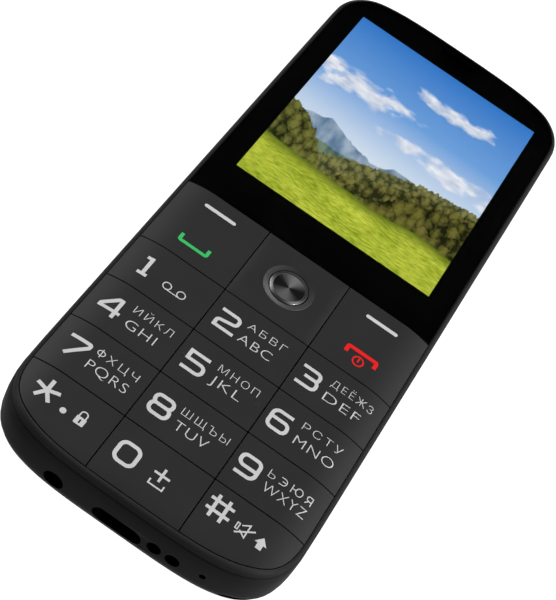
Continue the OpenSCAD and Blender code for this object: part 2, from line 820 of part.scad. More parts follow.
// Openings of the bottom wall and the pry notch
module housing_ports() {
    y0 = -body_l / 2 - over;
    y1 = inner_end_y + over;
    rod_y(jack_x, jack_z, jack_d / 2 + fit / 2, y0, y1);
    slot_rod_y(usb_x, usb_z, usb_w + 2 * fit, usb_h + 2 * fit, y0, y1);
    for (side = [-1, 1]) rod_y(strap_x + side * strap_pitch / 2, strap_z, strap_d / 2, y0, y1);
    rod_y(mic_x, mic_z, mic_d / 2, y0, y1 + over);
    notch_rise = end_wall_y(notch_x + notch_w / 2, 0) - end_wall_y(notch_x - notch_w / 2, 0);
    translate([notch_x, end_wall_y(notch_x, 0), split_z]) rotate(atan2(notch_rise, notch_w))
        slot_rod_y(0, 0, notch_w, 2 * notch_h, -notch_depth, notch_depth);
}

// Cut-outs of the floors for contacts, card sockets, camera, torch and loudspeaker
module housing_windows() {
    block([-contact_w / 2 - loose, battery_y1, floor_base_z - over],
          [contact_w / 2 + loose, battery_y1 + contact_l + 2 * loose, floor_top_z + over]);
    for (i = [0:2]) translate([socket_x[i], socket_y, floor_base_z])
        cube([socket_w[i] + 2 * loose, socket_l + 2 * loose, 2 * floor_t + over], true);
    disc(0, camera_y, barrel_r + loose, 0, chamber_z + over);
    disc(torch_x, camera_y, torch_r + loose, 0, chamber_z + over);
    block([speaker_x - slot_l / 2, camera_y - slot_count * slot_pitch / 2, 0],
          [speaker_x + slot_l / 2, camera_y + slot_count * slot_pitch / 2, chamber_z + over]);
}

module battery_cover() {
    levels = [0, 0.12, 0.45, 1, 1.8, split_z - fit];
    step_z = 2.2;
    step_inset = 1.9;
    floor_inset = 3.2;
    color("#2e2e30") {
        difference() {
            loft([for (z = levels) [wall_outline(back_inset(z)), z]]);
            prism(wall_outline(floor_inset), cover_t, face_z);
            prism(wall_outline(step_inset), step_z, face_z);
            disc(0, camera_y, camera_r + camera_ring_w + fit / 2, -over, cover_t + over);
            disc(torch_x, camera_y, torch_r + loose, -over, cover_t + over);
            for (i = [0:slot_count - 1]) speaker_slot(i);
        }
        for (side = [-1, 1]) for (y = latch_y)
            translate([side * latch_x, y, (cover_t - fit + latch_z) / 2])
                cube([latch_t, latch_l, latch_z - cover_t + fit], true);
    }
}

// One round-ended sound slot in the cover
module speaker_slot(i) {
    y = camera_y + (i - (slot_count - 1) / 2) * slot_pitch;
    half = (slot_l - slot_w) / 2;
    for (side = [-1, 1]) disc(speaker_x + side * half, y, slot_w / 2, -over, cover_t + over);
    block([speaker_x - half, y - slot_w / 2, -over], [speaker_x + half, y + slot_w / 2, cover_t + over]);
}

module speaker_mesh() {
    border = 0.8;
    half = [slot_l / 2 + border, slot_count * slot_pitch / 2 + border];
    color("#161616") block([speaker_x - half[0], camera_y - half[1], cover_t],
                           [speaker_x + half[0], camera_y + half[1], cover_t + mesh_t]);
}

module camera_ring() {
    rise = 0.05;
    color("silver") difference() {
        disc(0, camera_y, camera_r + camera_ring_w, rise, cover_t);
        disc(0, camera_y, camera_r, rise - over, cover_t + over);
    }
}

module camera_window() {
    recess = 0.25;
    color([0.05, 0.05, 0.07, 0.6]) disc(0, camera_y, camera_r - fit / 2, recess, cover_t - fit);
}

module camera_module() {
    cone_l = 1.5;
    pupil_r = 0.6;
    glass_rim = 0.5;
    color("#242426") difference() {
        union() {
            translate([-camera_size / 2, camera_y - camera_size / 2, chamber_z + fit])
                cube([camera_size, camera_size, board_base_z - chamber_z - fit]);
            disc(0, camera_y, barrel_r, cover_t + loose, chamber_z + 2 * fit);
        }
        translate([0, camera_y, cover_t]) cylinder(r1 = barrel_r - glass_rim, r2 = pupil_r, h = cone_l);
    }
}

module flash_led() {
    half = 1.5;
    color("#f2edc8") block([torch_x - half, camera_y - half, board_base_z - flash_led_h],
                           [torch_x + half, camera_y + half, board_base_z]);
}

module flash_guide() {
    color([0.95, 0.95, 0.9, 0.6]) disc(torch_x, camera_y, torch_r, cover_t / 2, board_base_z - flash_led_h);
}

module loudspeaker() {
    cone_rim = 1.2;
    cone_l = 0.8;
    low = [speaker_x - speaker_size[0] / 2, camera_y - speaker_size[1] / 2, chamber_z];
    color("#1e1e20") difference() {
        block(low, low + speaker_size);
        disc(speaker_x, camera_y, speaker_size[1] / 2 - cone_rim, chamber_z - over, chamber_z + cone_l);
    }
}

module shield_can() {
    skin = 0.2;
    low = [can_x - can_size[0] / 2, camera_y - can_size[1] / 2, board_base_z - can_size[2]];
    color("#b9bbbd") difference() {
        block(low, low + can_size);
        block(low + [skin, skin, skin], low + can_size + [-skin, -skin, over]);
    }
}

module main_board() {
    room = 2 * fit;
    color("#1f5a38") translate([0, 0, board_base_z]) linear_extrude(board_t) difference() {
        intersection() {
            polygon(wall_outline(board_inset));
            translate([-board_hw, board_y0]) square([2 * board_hw, board_y1 - board_y0]);
        }
        translate([jack_x - jack_size / 2 - room, -body_l])
            square([jack_size + 2 * room, jack_front_y + jack_l + room + body_l]);
        translate([strap_x - strap_pitch, -body_l])
            square([2 * strap_pitch, inner_end_y + strap_room_l + body_l]);
    }
}

module usb_socket() {
    skin = 0.3;
    back_t = 1;
    tongue = [6.7, usb_l - 1.4, 0.7];
    y0 = -body_l / 2 + usb_recess;
    color("#bfc1c3") {
        difference() {
            slot_rod_y(usb_x, usb_z, usb_w, usb_h, y0, y0 + usb_l);
            slot_rod_y(usb_x, usb_z, usb_w - 2 * skin, usb_h - 2 * skin, y0 - over, y0 + usb_l - back_t);
        }
        translate([usb_x, y0 + usb_l - (back_t + tongue[1]) / 2, usb_z]) cube(tongue, true);
    }
}

module audio_jack() {
    end_wall = 1;
    color("#1a1a1c") difference() {
        block([jack_x - jack_size / 2, jack_front_y, jack_z - jack_size / 2],
              [jack_x + jack_size / 2, jack_front_y + jack_l, jack_z + jack_size / 2]);
        rod_y(jack_x, jack_z, jack_d / 2, jack_front_y - over, jack_front_y + jack_l - end_wall);
    }
}

module microphone() {
    y0 = inner_end_y + mic_set_in;
    port_r = 0.3;
    color("#c8b26a") difference() {
        block([mic_x - mic_size[0] / 2, y0, board_base_z - mic_size[2]],
              [mic_x + mic_size[0] / 2, y0 + mic_size[1], board_base_z]);
        rod_y(mic_x, board_base_z - mic_size[2] / 2, port_r, y0 - over, y0 + mic_size[1] / 2);
    }
}

module vibration_motor() {
    shaft_r = 0.4;
    color("#b4b6b8") translate([motor_x, motor_y, motor_z]) rotate([0, 90, 0]) {
        cylinder(r = motor_r, h = motor_l);
        cylinder(r = shaft_r, h = motor_l + weight_gap + weight_l - loose);
    }
}

module motor_weight() {
    bore_r = 0.45;
    x0 = motor_x + motor_l + weight_gap;
    color("#8a8a86") translate([x0, motor_y, motor_z]) rotate([0, 90, 0]) difference() {
        union() {
            intersection() {
                cylinder(r = motor_r - fit, h = weight_l);
                translate([0, -motor_r, -over]) cube([2 * motor_r, 2 * motor_r, weight_l + 2 * over]);
            }
            cylinder(r = 2 * bore_r, h = weight_l);
        }
        translate([0, 0, -over]) cylinder(r = bore_r, h = weight_l + 2 * over);
    }
}

module antenna() {
    size = [antenna_w, antenna_l, board_base_z - loose - chamber_z];
    trace_t = 0.15;
    frame = 0.8;
    y0 = bay_y0 - chamber_wall - 2 * loose - size[1];
    color("#c49a52") translate([antenna_x, y0, chamber_z]) difference() {
        cube(size);
        translate([frame, frame, size[2] - trace_t]) cube([size[0] - 2 * frame, size[1] - 2 * frame, over]);
    }
}

module battery() {
    edge_r = 1;
    color("#3f4a55") translate([0, 0, battery_z0]) linear_extrude(battery_z1 - battery_z0) {
        translate([-battery_w / 2 + edge_r, battery_y0]) square([battery_w - 2 * edge_r, battery_l]);
        translate([-battery_w / 2, battery_y0 + edge_r]) square([battery_w, battery_l - 2 * edge_r]);
        for (x = [-1, 1]) for (y = [battery_y0 + edge_r, battery_y1 - edge_r])
            translate([x * (battery_w / 2 - edge_r), y]) circle(edge_r);
    }
}

module battery_contacts() {
    y0 = battery_y1 + loose;
    color("#2b2b2d") block([-contact_w / 2, y0, board_base_z - contact_drop],
                           [contact_w / 2, y0 + contact_l, board_base_z]);
}

module card_cage(i) {
    skin = 0.25;
    back_t = 1;
    lip = 3;
    mouth_l = 5;
    low = [socket_x[i] - socket_w[i] / 2, socket_y - socket_l / 2, board_base_z - socket_drop];
    high = [socket_x[i] + socket_w[i] / 2, socket_y + socket_l / 2, board_base_z];
    color("#c2c4c6") difference() {
        block(low, high);
        block([low[0] + skin, low[1] - over, low[2] + skin],
              [high[0] - skin, high[1] - back_t, high[2] - skin]);
        block([low[0] + lip, low[1] - over, low[2] - over],
              [high[0] - lip, low[1] + mouth_l, low[2] + 2 * skin]);
    }
}

module screws() {
    shank_end = ledge_base_z - 2 * loose;
    cross = [1.4, 0.35, 0.3];
    color("#9c9ea0") for (p = screw_places) difference() {
        union() {
            disc(p[0], p[1], head_r, head_z - head_t, head_z);
            disc(p[0], p[1], screw_r, head_z - fit, shank_end);
        }
        for (a = [0, 90]) translate([p[0], p[1], head_z - head_t]) rotate(a) cube(cross, true);
    }
}

front_frame();
mid_housing();
battery_cover();
screen_lens();
lens_mask();
lcd_panel();
backlight_unit();
display_pad();
display_flex();
earpiece();
earpiece_mesh();
rocker_pad(0);  // key_soft_call
rocker_pad(2);  // key_soft_end
nav_plate();
nav_base();
ok_button();
number_key(0, 1);  // key_1
number_key(1, 1);  // key_2
number_key(2, 1);  // key_3
number_key(0, 2);  // key_4
number_key(1, 2);  // key_5
number_key(2, 2);  // key_6
number_key(0, 3);  // key_7
number_key(1, 3);  // key_8
number_key(2, 3);  // key_9
number_key(0, 4);  // key_star
number_key(1, 4);  // key_0
number_key(2, 4);  // key_hash
key_mat();
key_domes();
dome_film();
key_leds();
main_board();
shield_can();
usb_socket();
audio_jack();
microphone();
loudspeaker();
speaker_mesh();
vibration_motor();
motor_weight();
antenna();
battery();
battery_contacts();
card_cage(0);  // sim_socket_left
card_cage(1);  // card_socket
card_cage(2);  // sim_socket_right
camera_module();
camera_window();
camera_ring();
flash_led();
flash_guide();
screws();
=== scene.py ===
import math

import bmesh
import bpy
from mathutils import Matrix, Vector


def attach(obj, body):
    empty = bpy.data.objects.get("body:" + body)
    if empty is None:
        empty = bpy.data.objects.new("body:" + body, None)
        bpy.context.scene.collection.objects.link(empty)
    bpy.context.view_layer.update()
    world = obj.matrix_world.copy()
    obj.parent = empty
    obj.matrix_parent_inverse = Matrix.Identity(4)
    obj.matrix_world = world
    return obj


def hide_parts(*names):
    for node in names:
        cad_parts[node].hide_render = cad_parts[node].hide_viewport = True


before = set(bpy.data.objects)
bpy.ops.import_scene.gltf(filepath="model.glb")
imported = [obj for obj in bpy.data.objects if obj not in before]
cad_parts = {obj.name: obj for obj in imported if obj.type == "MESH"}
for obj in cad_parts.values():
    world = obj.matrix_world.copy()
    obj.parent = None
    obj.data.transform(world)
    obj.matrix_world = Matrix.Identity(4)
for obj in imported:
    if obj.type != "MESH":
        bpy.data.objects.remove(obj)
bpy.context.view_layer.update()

# Middle housing: the deep shell with the socket wall, the battery bay and the ledges of the board.
# One injection moulding in dark grey plastic with a fine matt grain, screwed to the front frame from behind.
# The insides of its openings and of the pry notch are painted black: painted shade where little light gets
# in.
MM = 0.001
WELD = 0.001
SHARP_ANGLE = math.radians(33.0)
# An outline is half width, top, bottom, and the lengths of its rounded top and bottom ends.
CASE = (27.25, 70.1, -70.1, 11.5, 18.5)
BOTTOM_POWER = 4.0
BACK_R = 5.5
# An opening in the bottom wall is its middle in x and z, and its half width and half height.
PORTS = ((-11.9, 5.9, 1.9, 1.9), (0.2, 5.8, 4.6, 1.75), (7.0, 6.6, 1.35, 1.35), (10.4, 6.6, 1.35, 1.35),
         (15.65, 7.15, 0.62, 0.62))
PORT_REACH_Y = -64.0
NOTCH = (21.8, 3.95, 3.4, 0.85)
NOTCH_REACH_Y = -55.0
NOTCH_SINK = 0.1
CASE_GREY = (0.019, 0.019, 0.0194)
CASE_ROUGH, CASE_GLOSS = 0.5, 0.01
# Painted shade: near black for the insides of the openings and the notch, where little light gets in.
PAINTED_PORT_SHADE = (0.0012, 0.0012, 0.0012)
PORT_ROUGH, PORT_GLOSS = 0.7, 0.0
GRAIN_SCALE, GRAIN_DETAIL = 5000.0, 2.0
DRIFT_SCALE, DRIFT_DETAIL = 120.0, 3.0
TONE_SWING = (0.88, 1.12)
ROUGH_SWING = (-0.05, 0.05)
GRAIN_SOCKETS = (("Color", "Color", "INPUT"), ("Rough", "Float", "INPUT"), ("Color", "Color", "OUTPUT"),
                 ("Rough", "Float", "OUTPUT"), ("Height", "Float", "OUTPUT"))


def plug(tree, node, inputs):
    """Set the sockets of a node from values or links."""
    for key, value in inputs.items():
        if isinstance(value, bpy.types.NodeSocket):
            tree.links.new(value, node.inputs[key])
        else:
            node.inputs[key].default_value = value


def add_node(tree, kind, inputs, **settings):
    """Add a shader node with its settings and sockets, and return it."""
    made = tree.nodes.new(kind)
    for name, value in settings.items():
        setattr(made, name, value)
    plug(tree, made, inputs)
    return made


def math_node(tree, operation, *values):
    """The result of a Math node."""
    return add_node(tree, "ShaderNodeMath", dict(enumerate(values)), operation=operation).outputs[0]


def map_range(tree, value, start=(0.0, 1.0), end=(0.0, 1.0), clamp=True):
    """A value carried over from one range to another."""
    limits = {"From Min": start[0], "From Max": start[1], "To Min": end[0], "To Max": end[1]}
    return add_node(tree, "ShaderNodeMapRange", {"Value": value, **limits}, clamp=clamp).outputs[0]


def object_place(tree):
    """Object coordinates in a material."""
    return add_node(tree, "ShaderNodeTexCoord", {}).outputs["Object"]


def noise(tree, place, scale, detail):
    """Noise of 0 to 1 over a place."""
    inputs = {"Vector": place, "Scale": scale, "Detail": detail}
    return add_node(tree, "ShaderNodeTexNoise", inputs).outputs[0]


def make_grain_group():
    """Fine spark-eroded grain with a slow drift of tone, on Object coordinates."""
    group = bpy.data.node_groups.new("fine_grain", "ShaderNodeTree")
    for name, kind, way in GRAIN_SOCKETS:
        group.interface.new_socket(name, in_out=way, socket_type="NodeSocket" + kind)
    given = add_node(group, "NodeGroupInput", {}).outputs
    place = object_place(group)
    grain = noise(group, place, GRAIN_SCALE, GRAIN_DETAIL)
    tone = map_range(group, noise(group, place, DRIFT_SCALE, DRIFT_DETAIL), end=TONE_SWING)
    tinted = add_node(group, "ShaderNodeVectorMath", {0: given["Color"], "Scale": tone}, operation="SCALE")
    rough = math_node(group, "ADD", given["Rough"], map_range(group, grain, end=ROUGH_SWING))
    add_node(group, "NodeGroupOutput", {"Color": tinted.outputs[0], "Rough": rough, "Height": grain})
    return group


GRAIN = make_grain_group()


def new_material(name):
    """A new material and its node tree."""
    material = bpy.data.materials.new(name)
    material.use_nodes = True
    return material, material.node_tree


def set_shader(tree, inputs):
    """Set the sockets of a material's main shader from values or links."""
    plug(tree, tree.nodes["Principled BSDF"], inputs)


def grained(name, color, rough, specular=0.3, depth=0.006, metallic=0.0):
    """A moulded or cast material with the fine grain; depth of the grain in mm."""
    material, tree = new_material(name)
    look = {"Color": (*color, 1.0), "Rough": rough}
    fine = add_node(tree, "ShaderNodeGroup", look, node_tree=GRAIN).outputs
    bump = add_node(tree, "ShaderNodeBump", {"Distance": depth * MM, "Height": fine["Height"]})
    set_shader(tree, {"Base Color": fine["Color"], "Roughness": fine["Rough"], "Normal": bump.outputs[0],
                      "Specular IOR Level": specular, "Metallic": metallic})
    return material


def finish_piece(name, bm, body, slot, material, *nodes, sharp=SHARP_ANGLE):
    """Turn a bmesh drawn in mm into a piece that rides on a body and stands for CAD nodes."""
    bmesh.ops.scale(bm, vec=(MM, MM, MM), verts=bm.verts)
    mesh = bpy.data.meshes.new(name)
    bm.to_mesh(mesh)
    bm.free()
    mesh.materials.append(material)
    mesh.shade_smooth()
    mesh.set_sharp_from_angle(angle=sharp)
    piece = bpy.data.objects.new(name, mesh)
    bpy.context.scene.collection.objects.link(piece)
    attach(piece, body)
    if nodes:
        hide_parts(*nodes)
    return piece


def merged_copy(node):
    """The CAD node's shape in mm with its loose triangles joined."""
    bm = bmesh.new()
    bm.from_mesh(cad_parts[node].data)
    bmesh.ops.scale(bm, vec=(1 / MM, 1 / MM, 1 / MM), verts=bm.verts)
    bmesh.ops.remove_doubles(bm, verts=bm.verts, dist=WELD)
    return bm


def back_inset(z):
    """How far the rounded back edge lies inside the case outline at a height."""
    return BACK_R - math.sqrt(max(0.0, BACK_R ** 2 - (BACK_R - z) ** 2)) if z < BACK_R else 0.0


def within(face, opening, reach_y):
    """Whether all corners of a face lie in the frame of an opening in the bottom wall."""
    x, z, half_w, half_h = opening
    return all(abs(v.co.x - x) < half_w and abs(v.co.z - z) < half_h and v.co.y < reach_y for v in face.verts)


def behind_wall(face):
    """Whether a face lies deeper than the rounded lower edge of the bottom wall."""
    middle = face.calc_center_median()
    half_w, _, low, _, bottom_l = CASE
    edge_in = back_inset(middle.z)
    share = 1 - (middle.x / (half_w - edge_in)) ** BOTTOM_POWER
    wall_y = low + edge_in + (bottom_l - edge_in) * (1 - max(share, 0.0) ** (1 / BOTTOM_POWER))
    return middle.y > wall_y + NOTCH_SINK


case_plastic = grained("case_plastic", CASE_GREY, CASE_ROUGH, CASE_GLOSS)
painted_port_shade = grained("painted_port_shade", PAINTED_PORT_SHADE, PORT_ROUGH, PORT_GLOSS)
shell = merged_copy("mid_housing")
# Faces inside the openings, and notch faces behind the wall, take the near black of painted shade.
for face in shell.faces:
    in_port = any(within(face, port, PORT_REACH_Y) for port in PORTS)
    if in_port or (within(face, NOTCH, NOTCH_REACH_Y) and behind_wall(face)):
        face.material_index = 1
housing = finish_piece("housing_shell", shell, "case", "case_plastic", case_plastic, "mid_housing")
housing.data.materials.append(painted_port_shade)

# Front frame: the thin rounded lip round the lens and the keys, with the skirt that plugs into the housing,
# the ledge under the lens and the bosses that take the screws. Moulded in the same plastic; its upper edge is
# lighter by a painted sheen that rises with height; a fine step marks the joint to the housing.
FACE = (26.05, 68.4, -68.4, 11.6, 16.5)
TOP_POWER = 3.0
END_STEPS = 72
FACE_Z = 12.5
# The crown of the face starts to fall at a flat's edge; a drop is the length of the fall and its depth.
SIDE_FLAT, SIDE_DROP = 20.0, (6.05, 1.0)
END_FLAT, END_DROP = 65.4, (3.0, 0.4)
CROWN_POWER = 3
# Places across the frame are shares of the way from the case outline to the face outline.
LIP_OUT, LIP_IN = 0.40, 0.91
LIP_Z = 10.8
LIP_SUNK = 0.06
LIP_ROUND = 0.92
LIP_STEP = 6
LIP_CREST = ((0.015, 0.99), (0.0, 0.95))
SKIRT_IN, SKIRT_Z = 0.54, 9.2
LEDGE_OUT, LEDGE_Z = 0.915, (7.0, 10.97)
FRAME_GLOSS = 0.015
# Painted sheen: a lighter grey for the top of the lip, and the heights over which it fades in.
PAINTED_SHEEN_GREY = (0.036, 0.036, 0.0365)
PAINTED_SHEEN_FADE = (11.4, 12.2)


def arc_fall(reach, length, drop):
    """Fall of a circular arc that starts level and drops so far over a length."""
    if reach <= 0:
        return 0.0
    r = (length ** 2 + drop ** 2) / (2 * drop)
    return r - math.sqrt(r ** 2 - min(reach, length) ** 2)


def crown_z(x, y):
    """Height of the crowned face."""
    side = arc_fall(abs(x) - SIDE_FLAT, *SIDE_DROP)
    end = arc_fall(abs(y) - END_FLAT, *END_DROP)
    return FACE_Z - (side ** CROWN_POWER + end ** CROWN_POWER) ** (1 / CROWN_POWER)


def end_point(half_w, length, power, angle):
    """Point of a superellipse end, across and along, for an angle in the circle."""
    c, s = math.cos(angle), math.sin(angle)
    x = half_w * math.copysign(abs(c) ** (2 / power), c)
    return x, length * math.copysign(abs(s) ** (2 / power), s)


def outline(half_w, top, bottom, top_l, bottom_l):
    """The closed plan outline with a superellipse at each end."""
    points = []
    for i in range(END_STEPS + 1):
        x, y = end_point(half_w, top_l, TOP_POWER, math.pi * i / END_STEPS)
        points.append((x, top - top_l + y))
    for i in range(END_STEPS + 1):
        x, y = end_point(half_w, bottom_l, BOTTOM_POWER, math.pi * (1 + i / END_STEPS))
        points.append((x, bottom + bottom_l + y))
    return points


def rim(share, z):
    """A ring between the case outline and the face outline at a height."""
    sizes = [a + (b - a) * share for a, b in zip(CASE, FACE)]
    return [Vector((x, y, z)) for x, y in outline(*sizes)]


def ring_loft(rings, closed=False):
    """Skin through rings with the same number of points, closed to a tube or capped at both ends."""
    bm = bmesh.new()
    station = bm.verts.layers.int.new("station")
    bmesh.ops.create_circle(bm, segments=len(rings[0]), radius=1.0)
    for i, vert in enumerate(bm.verts):
        vert[station] = i
        vert.co = rings[0][i]
    first = list(bm.edges)
    edges = first
    for ring in rings[1:]:
        pulled = bmesh.ops.extrude_edge_only(bm, edges=edges)["geom"]
        fresh = {v for v in pulled if isinstance(v, bmesh.types.BMVert)}
        for vert in fresh:
            vert.co = ring[vert[station]]
        edges = [e for e in pulled if isinstance(e, bmesh.types.BMEdge) and set(e.verts) <= fresh]
    if closed:
        bmesh.ops.bridge_loops(bm, edges=first + edges)
    else:
        bmesh.ops.contextual_create(bm, geom=first)
        bmesh.ops.contextual_create(bm, geom=edges)
    bm.verts.layers.int.remove(station)
    bmesh.ops.recalc_face_normals(bm, faces=bm.faces)
    return bm


def carve(bm, cutter, operation="DIFFERENCE"):
    """Cut, join or cross two bmeshes with an applied boolean, and return the result."""
    solids = []
    for part in (bm, cutter):
        mesh = bpy.data.meshes.new("carving")
        part.to_mesh(mesh)
        part.free()
        solids.append(bpy.data.objects.new("carving", mesh))
        bpy.context.scene.collection.objects.link(solids[-1])
    boolean = solids[0].modifiers.new("carve", "BOOLEAN")
    boolean.object = solids[1]
    boolean.operation = operation
    boolean.solver = "MANIFOLD"
    result = bmesh.new()
    result.from_object(solids[0], bpy.context.evaluated_depsgraph_get())
    for solid in solids:
        mesh = solid.data
        bpy.data.objects.remove(solid)
        bpy.data.meshes.remove(mesh)
    return result


def mix_color(tree, share, under, over):
    """One colour laid over another by a share."""
    return add_node(tree, "ShaderNodeMix", {0: share, 6: under, 7: over}, data_type="RGBA").outputs[2]


def shader_source(tree, socket):
    """What feeds a socket of a material's main shader."""
    return tree.nodes["Principled BSDF"].inputs[socket].links[0].from_socket


lip_tops = [crown_z(x, y) - LIP_SUNK for x, y in outline(*FACE)]


def lip_ring(share, rise):
    """A ring of the lip, which rises by a share of its height up to just under the edge of the face."""
    ring = rim(share, LIP_Z)
    for point, top in zip(ring, lip_tops):
        point.z += (top - LIP_Z) * rise
    return ring


frame_rings = [rim(SKIRT_IN, SKIRT_Z), rim(SKIRT_IN, LIP_Z)]
for degrees in range(0, 91, LIP_STEP):
    turn = math.radians(degrees)
    inwards = (LIP_IN - LIP_OUT) * LIP_ROUND * (1 - math.cos(turn))
    frame_rings.append(lip_ring(LIP_OUT + inwards, math.sin(turn)))
frame_rings += [lip_ring(LIP_IN - back, rise) for back, rise in LIP_CREST]
frame_rings.append(rim(LIP_IN, SKIRT_Z))
frame_plastic = grained("frame_plastic", CASE_GREY, CASE_ROUGH, FRAME_GLOSS)
frame_tree = frame_plastic.node_tree
# Painted sheen: the frame's colour lightens with height towards the top of the lip.
frame_height = add_node(frame_tree, "ShaderNodeSeparateXYZ", {0: object_place(frame_tree)}).outputs[2]
painted_sheen_share = map_range(frame_tree, frame_height, [z * MM for z in PAINTED_SHEEN_FADE])
frame_grain = shader_source(frame_tree, "Base Color")
set_shader(frame_tree, {"Base Color": mix_color(frame_tree, painted_sheen_share, frame_grain, (*PAINTED_SHEEN_GREY, 1.0))})
lip = ring_loft(frame_rings, closed=True)
finish_piece("frame_lip", lip, "case", "case_plastic", frame_plastic, "front_frame")
ledge_room = ring_loft([rim(LEDGE_OUT, z) for z in LEDGE_Z])
ledge = carve(merged_copy("front_frame"), ledge_room, "INTERSECT")
finish_piece("frame_ledge", ledge, "case", "case_plastic", case_plastic)

# Back cover: a shallow snap-on tray with softly rounded edges, holes for camera, torch and loudspeaker.
# Moulded in the same plastic; four tongues hold it in the housing's slots.
COVER_TOP = 3.1
COVER_STEPS = 14
COVER_FLOOR = 1.1
COVER_STEP = (1.9, 2.2)
COVER_INNER = 3.2
CAMERA, RING_SEAT_R = (0.0, 54.1), 4.75
TORCH, TORCH_R = (7.875, 54.1), 1.7
GRILLE = (-14.7, 54.1)
SLOTS, SLOT_L, SLOT_W, SLOT_PITCH = 5, 9.0, 0.9, 1.8
HOLE_Z = (-1.0, 2.0)
TONGUE_SIZE = (0.8, 6.0)
TONGUE_X = 23.9
TONGUE_Y = (-29.8, 24.0)
TONGUE_Z = (1.0, 5.2)
TONGUE_ROUND = 0.15
ROD_SIDES, WIDE_ROD_SIDES, SLOT_SIDES = 48, 96, 24
ON_AXIS = 1e-4


def inset(depth, z):
    """A ring that lies a depth inside the case outline."""
    half_w, top, bottom, top_l, bottom_l = CASE
    sizes = (half_w - depth, top - depth, bottom + depth, top_l - depth, bottom_l - depth)
    return [Vector((x, y, z)) for x, y in outline(*sizes)]


def add_rod(bm, x, y, r, z0, z1, sides=ROD_SIDES):
    """A round bar along Z."""
    bmesh.ops.create_cone(bm, cap_ends=True, segments=sides, radius1=r, radius2=r, depth=z1 - z0,
                          matrix=Matrix.Translation((x, y, (z0 + z1) / 2)))


def add_box(bm, low, high):
    """A block between two corners."""
    size = [b - a for a, b in zip(low, high)]
    middle = [(a + b) / 2 for a, b in zip(low, high)]
    bmesh.ops.create_cube(bm, size=1.0, matrix=Matrix.Translation(middle) @ Matrix.Diagonal((*size, 1.0)))


def raise_faces(bm, faces, height):
    """Pull flat faces up to a closed solid."""
    pulled = bmesh.ops.extrude_face_region(bm, geom=faces)["geom"]
    raised = [v for v in pulled if isinstance(v, bmesh.types.BMVert)]
    bmesh.ops.translate(bm, vec=(0, 0, height), verts=raised)
    bmesh.ops.recalc_face_normals(bm, faces=bm.faces)


def add_slot(bm, x, y, length, width, z0, z1):
    """A bar along Z with a long round-ended section."""
    reach = (length - width) / 2
    made = bmesh.ops.create_circle(bm, cap_ends=True, segments=SLOT_SIDES, radius=width / 2)["verts"]
    for vert in made:
        vert.co.x += math.copysign(reach, vert.co.x) if abs(vert.co.x) > ON_AXIS else 0.0
        vert.co += Vector((x, y, z0))
    raise_faces(bm, [f for f in bm.faces if f.verts[0] in made], z1 - z0)


cover_rings = []
for i in range(COVER_STEPS + 1):
    height = COVER_TOP * (i / COVER_STEPS) ** 2
    cover_rings.append(inset(back_inset(height), height))
step_in, step_z = COVER_STEP
cover_rings += [inset(step_in, COVER_TOP), inset(step_in, step_z)]
cover_rings += [inset(COVER_INNER, step_z), inset(COVER_INNER, COVER_FLOOR)]
holes = bmesh.new()
add_rod(holes, *CAMERA, RING_SEAT_R, *HOLE_Z, WIDE_ROD_SIDES)
add_rod(holes, *TORCH, TORCH_R, *HOLE_Z)
for i in range(SLOTS):
    add_slot(holes, GRILLE[0], GRILLE[1] + (i - (SLOTS - 1) / 2) * SLOT_PITCH, SLOT_L, SLOT_W, *HOLE_Z)
tongues = bmesh.new()
half_x, half_y = TONGUE_SIZE[0] / 2, TONGUE_SIZE[1] / 2
for x in (-TONGUE_X, TONGUE_X):
    for y in TONGUE_Y:
        add_box(tongues, (x - half_x, y - half_y, TONGUE_Z[0]), (x + half_x, y + half_y, TONGUE_Z[1]))
bmesh.ops.bevel(tongues, geom=tongues.edges[:], offset=TONGUE_ROUND, segments=2, profile=0.5, affect="EDGES",
                material=-1)
cover = carve(carve(ring_loft(cover_rings), holes), tongues, "UNION")
finish_piece("back_cover", cover, "battery_cover", "case_plastic", case_plastic, "battery_cover")

# Front lens: one sheet of clear acrylic over the screen with a slot for the earpiece at the top.
# Moulded and polished; its sides and top fall away with the crown of the face.
# Its walls and rounded edges are painted black, so that no light shows at the seam.
SEAM_Y = -6.0987
SEAM_GAP = 0.16
LENS_BASE = 11.1
LENS_GRID = (80, 96)
LENS_ROUND = 0.06
LENS_STRAIGHT = 0.86
EAR_SLOT = (0.0, 65.4, 9.0, 1.0)
CUT_OVER = 1.0
CORNER_ANGLE = math.pi / 4
CRISP_ANGLE = math.radians(8.0)
WALL_TILT = 0.9
ROUND_AREA = 0.1
LENS_TINT = (0.96, 0.97, 0.98, 1.0)
LENS_INDEX = 1.49
HAZE_SCALE, HAZE_DETAIL, HAZE_ROUGH = 60.0, 4.0, 0.008
MASK_BLACK = (0.0006, 0.0006, 0.0006)
MASK_ROUGH, MASK_GLOSS = 0.4, 0.05


def face_end(angle, top):
    """Point of the face outline's end; angle 0 is at the right side and a right angle at the tip."""
    half_w, high, low, top_l, bottom_l = FACE
    if top:
        x, y = end_point(half_w, top_l, TOP_POWER, angle)
        return Vector((x, high - top_l + y))
    x, y = end_point(half_w, bottom_l, BOTTOM_POWER, angle)
    return Vector((x, low + bottom_l - y))


def end_edge(start, end, top):
    """An edge curve along an end of the face outline between two angles."""
    return lambda share: face_end(start + (end - start) * share, top)


def add_patch(bm, bottom, top, left, right, across, along, flip=False):
    """A grid stretched between four edge curves and lifted to the crown."""
    corners = bottom(0.0), bottom(1.0), top(0.0), top(1.0)
    for vert in bmesh.ops.create_grid(bm, x_segments=across, y_segments=along, size=0.5)["verts"]:
        u, w = vert.co.x + 0.5, vert.co.y + 0.5
        ruled = bottom(u) * (1 - w) + top(u) * w + left(w) * (1 - u) + right(w) * u
        double = corners[0] * (1 - u) * (1 - w) + corners[1] * u * (1 - w)
        double += corners[2] * (1 - u) * w + corners[3] * u * w
        flat = ruled - double
        vert.co = (-flat.x if flip else flat.x, flat.y, crown_z(*flat))


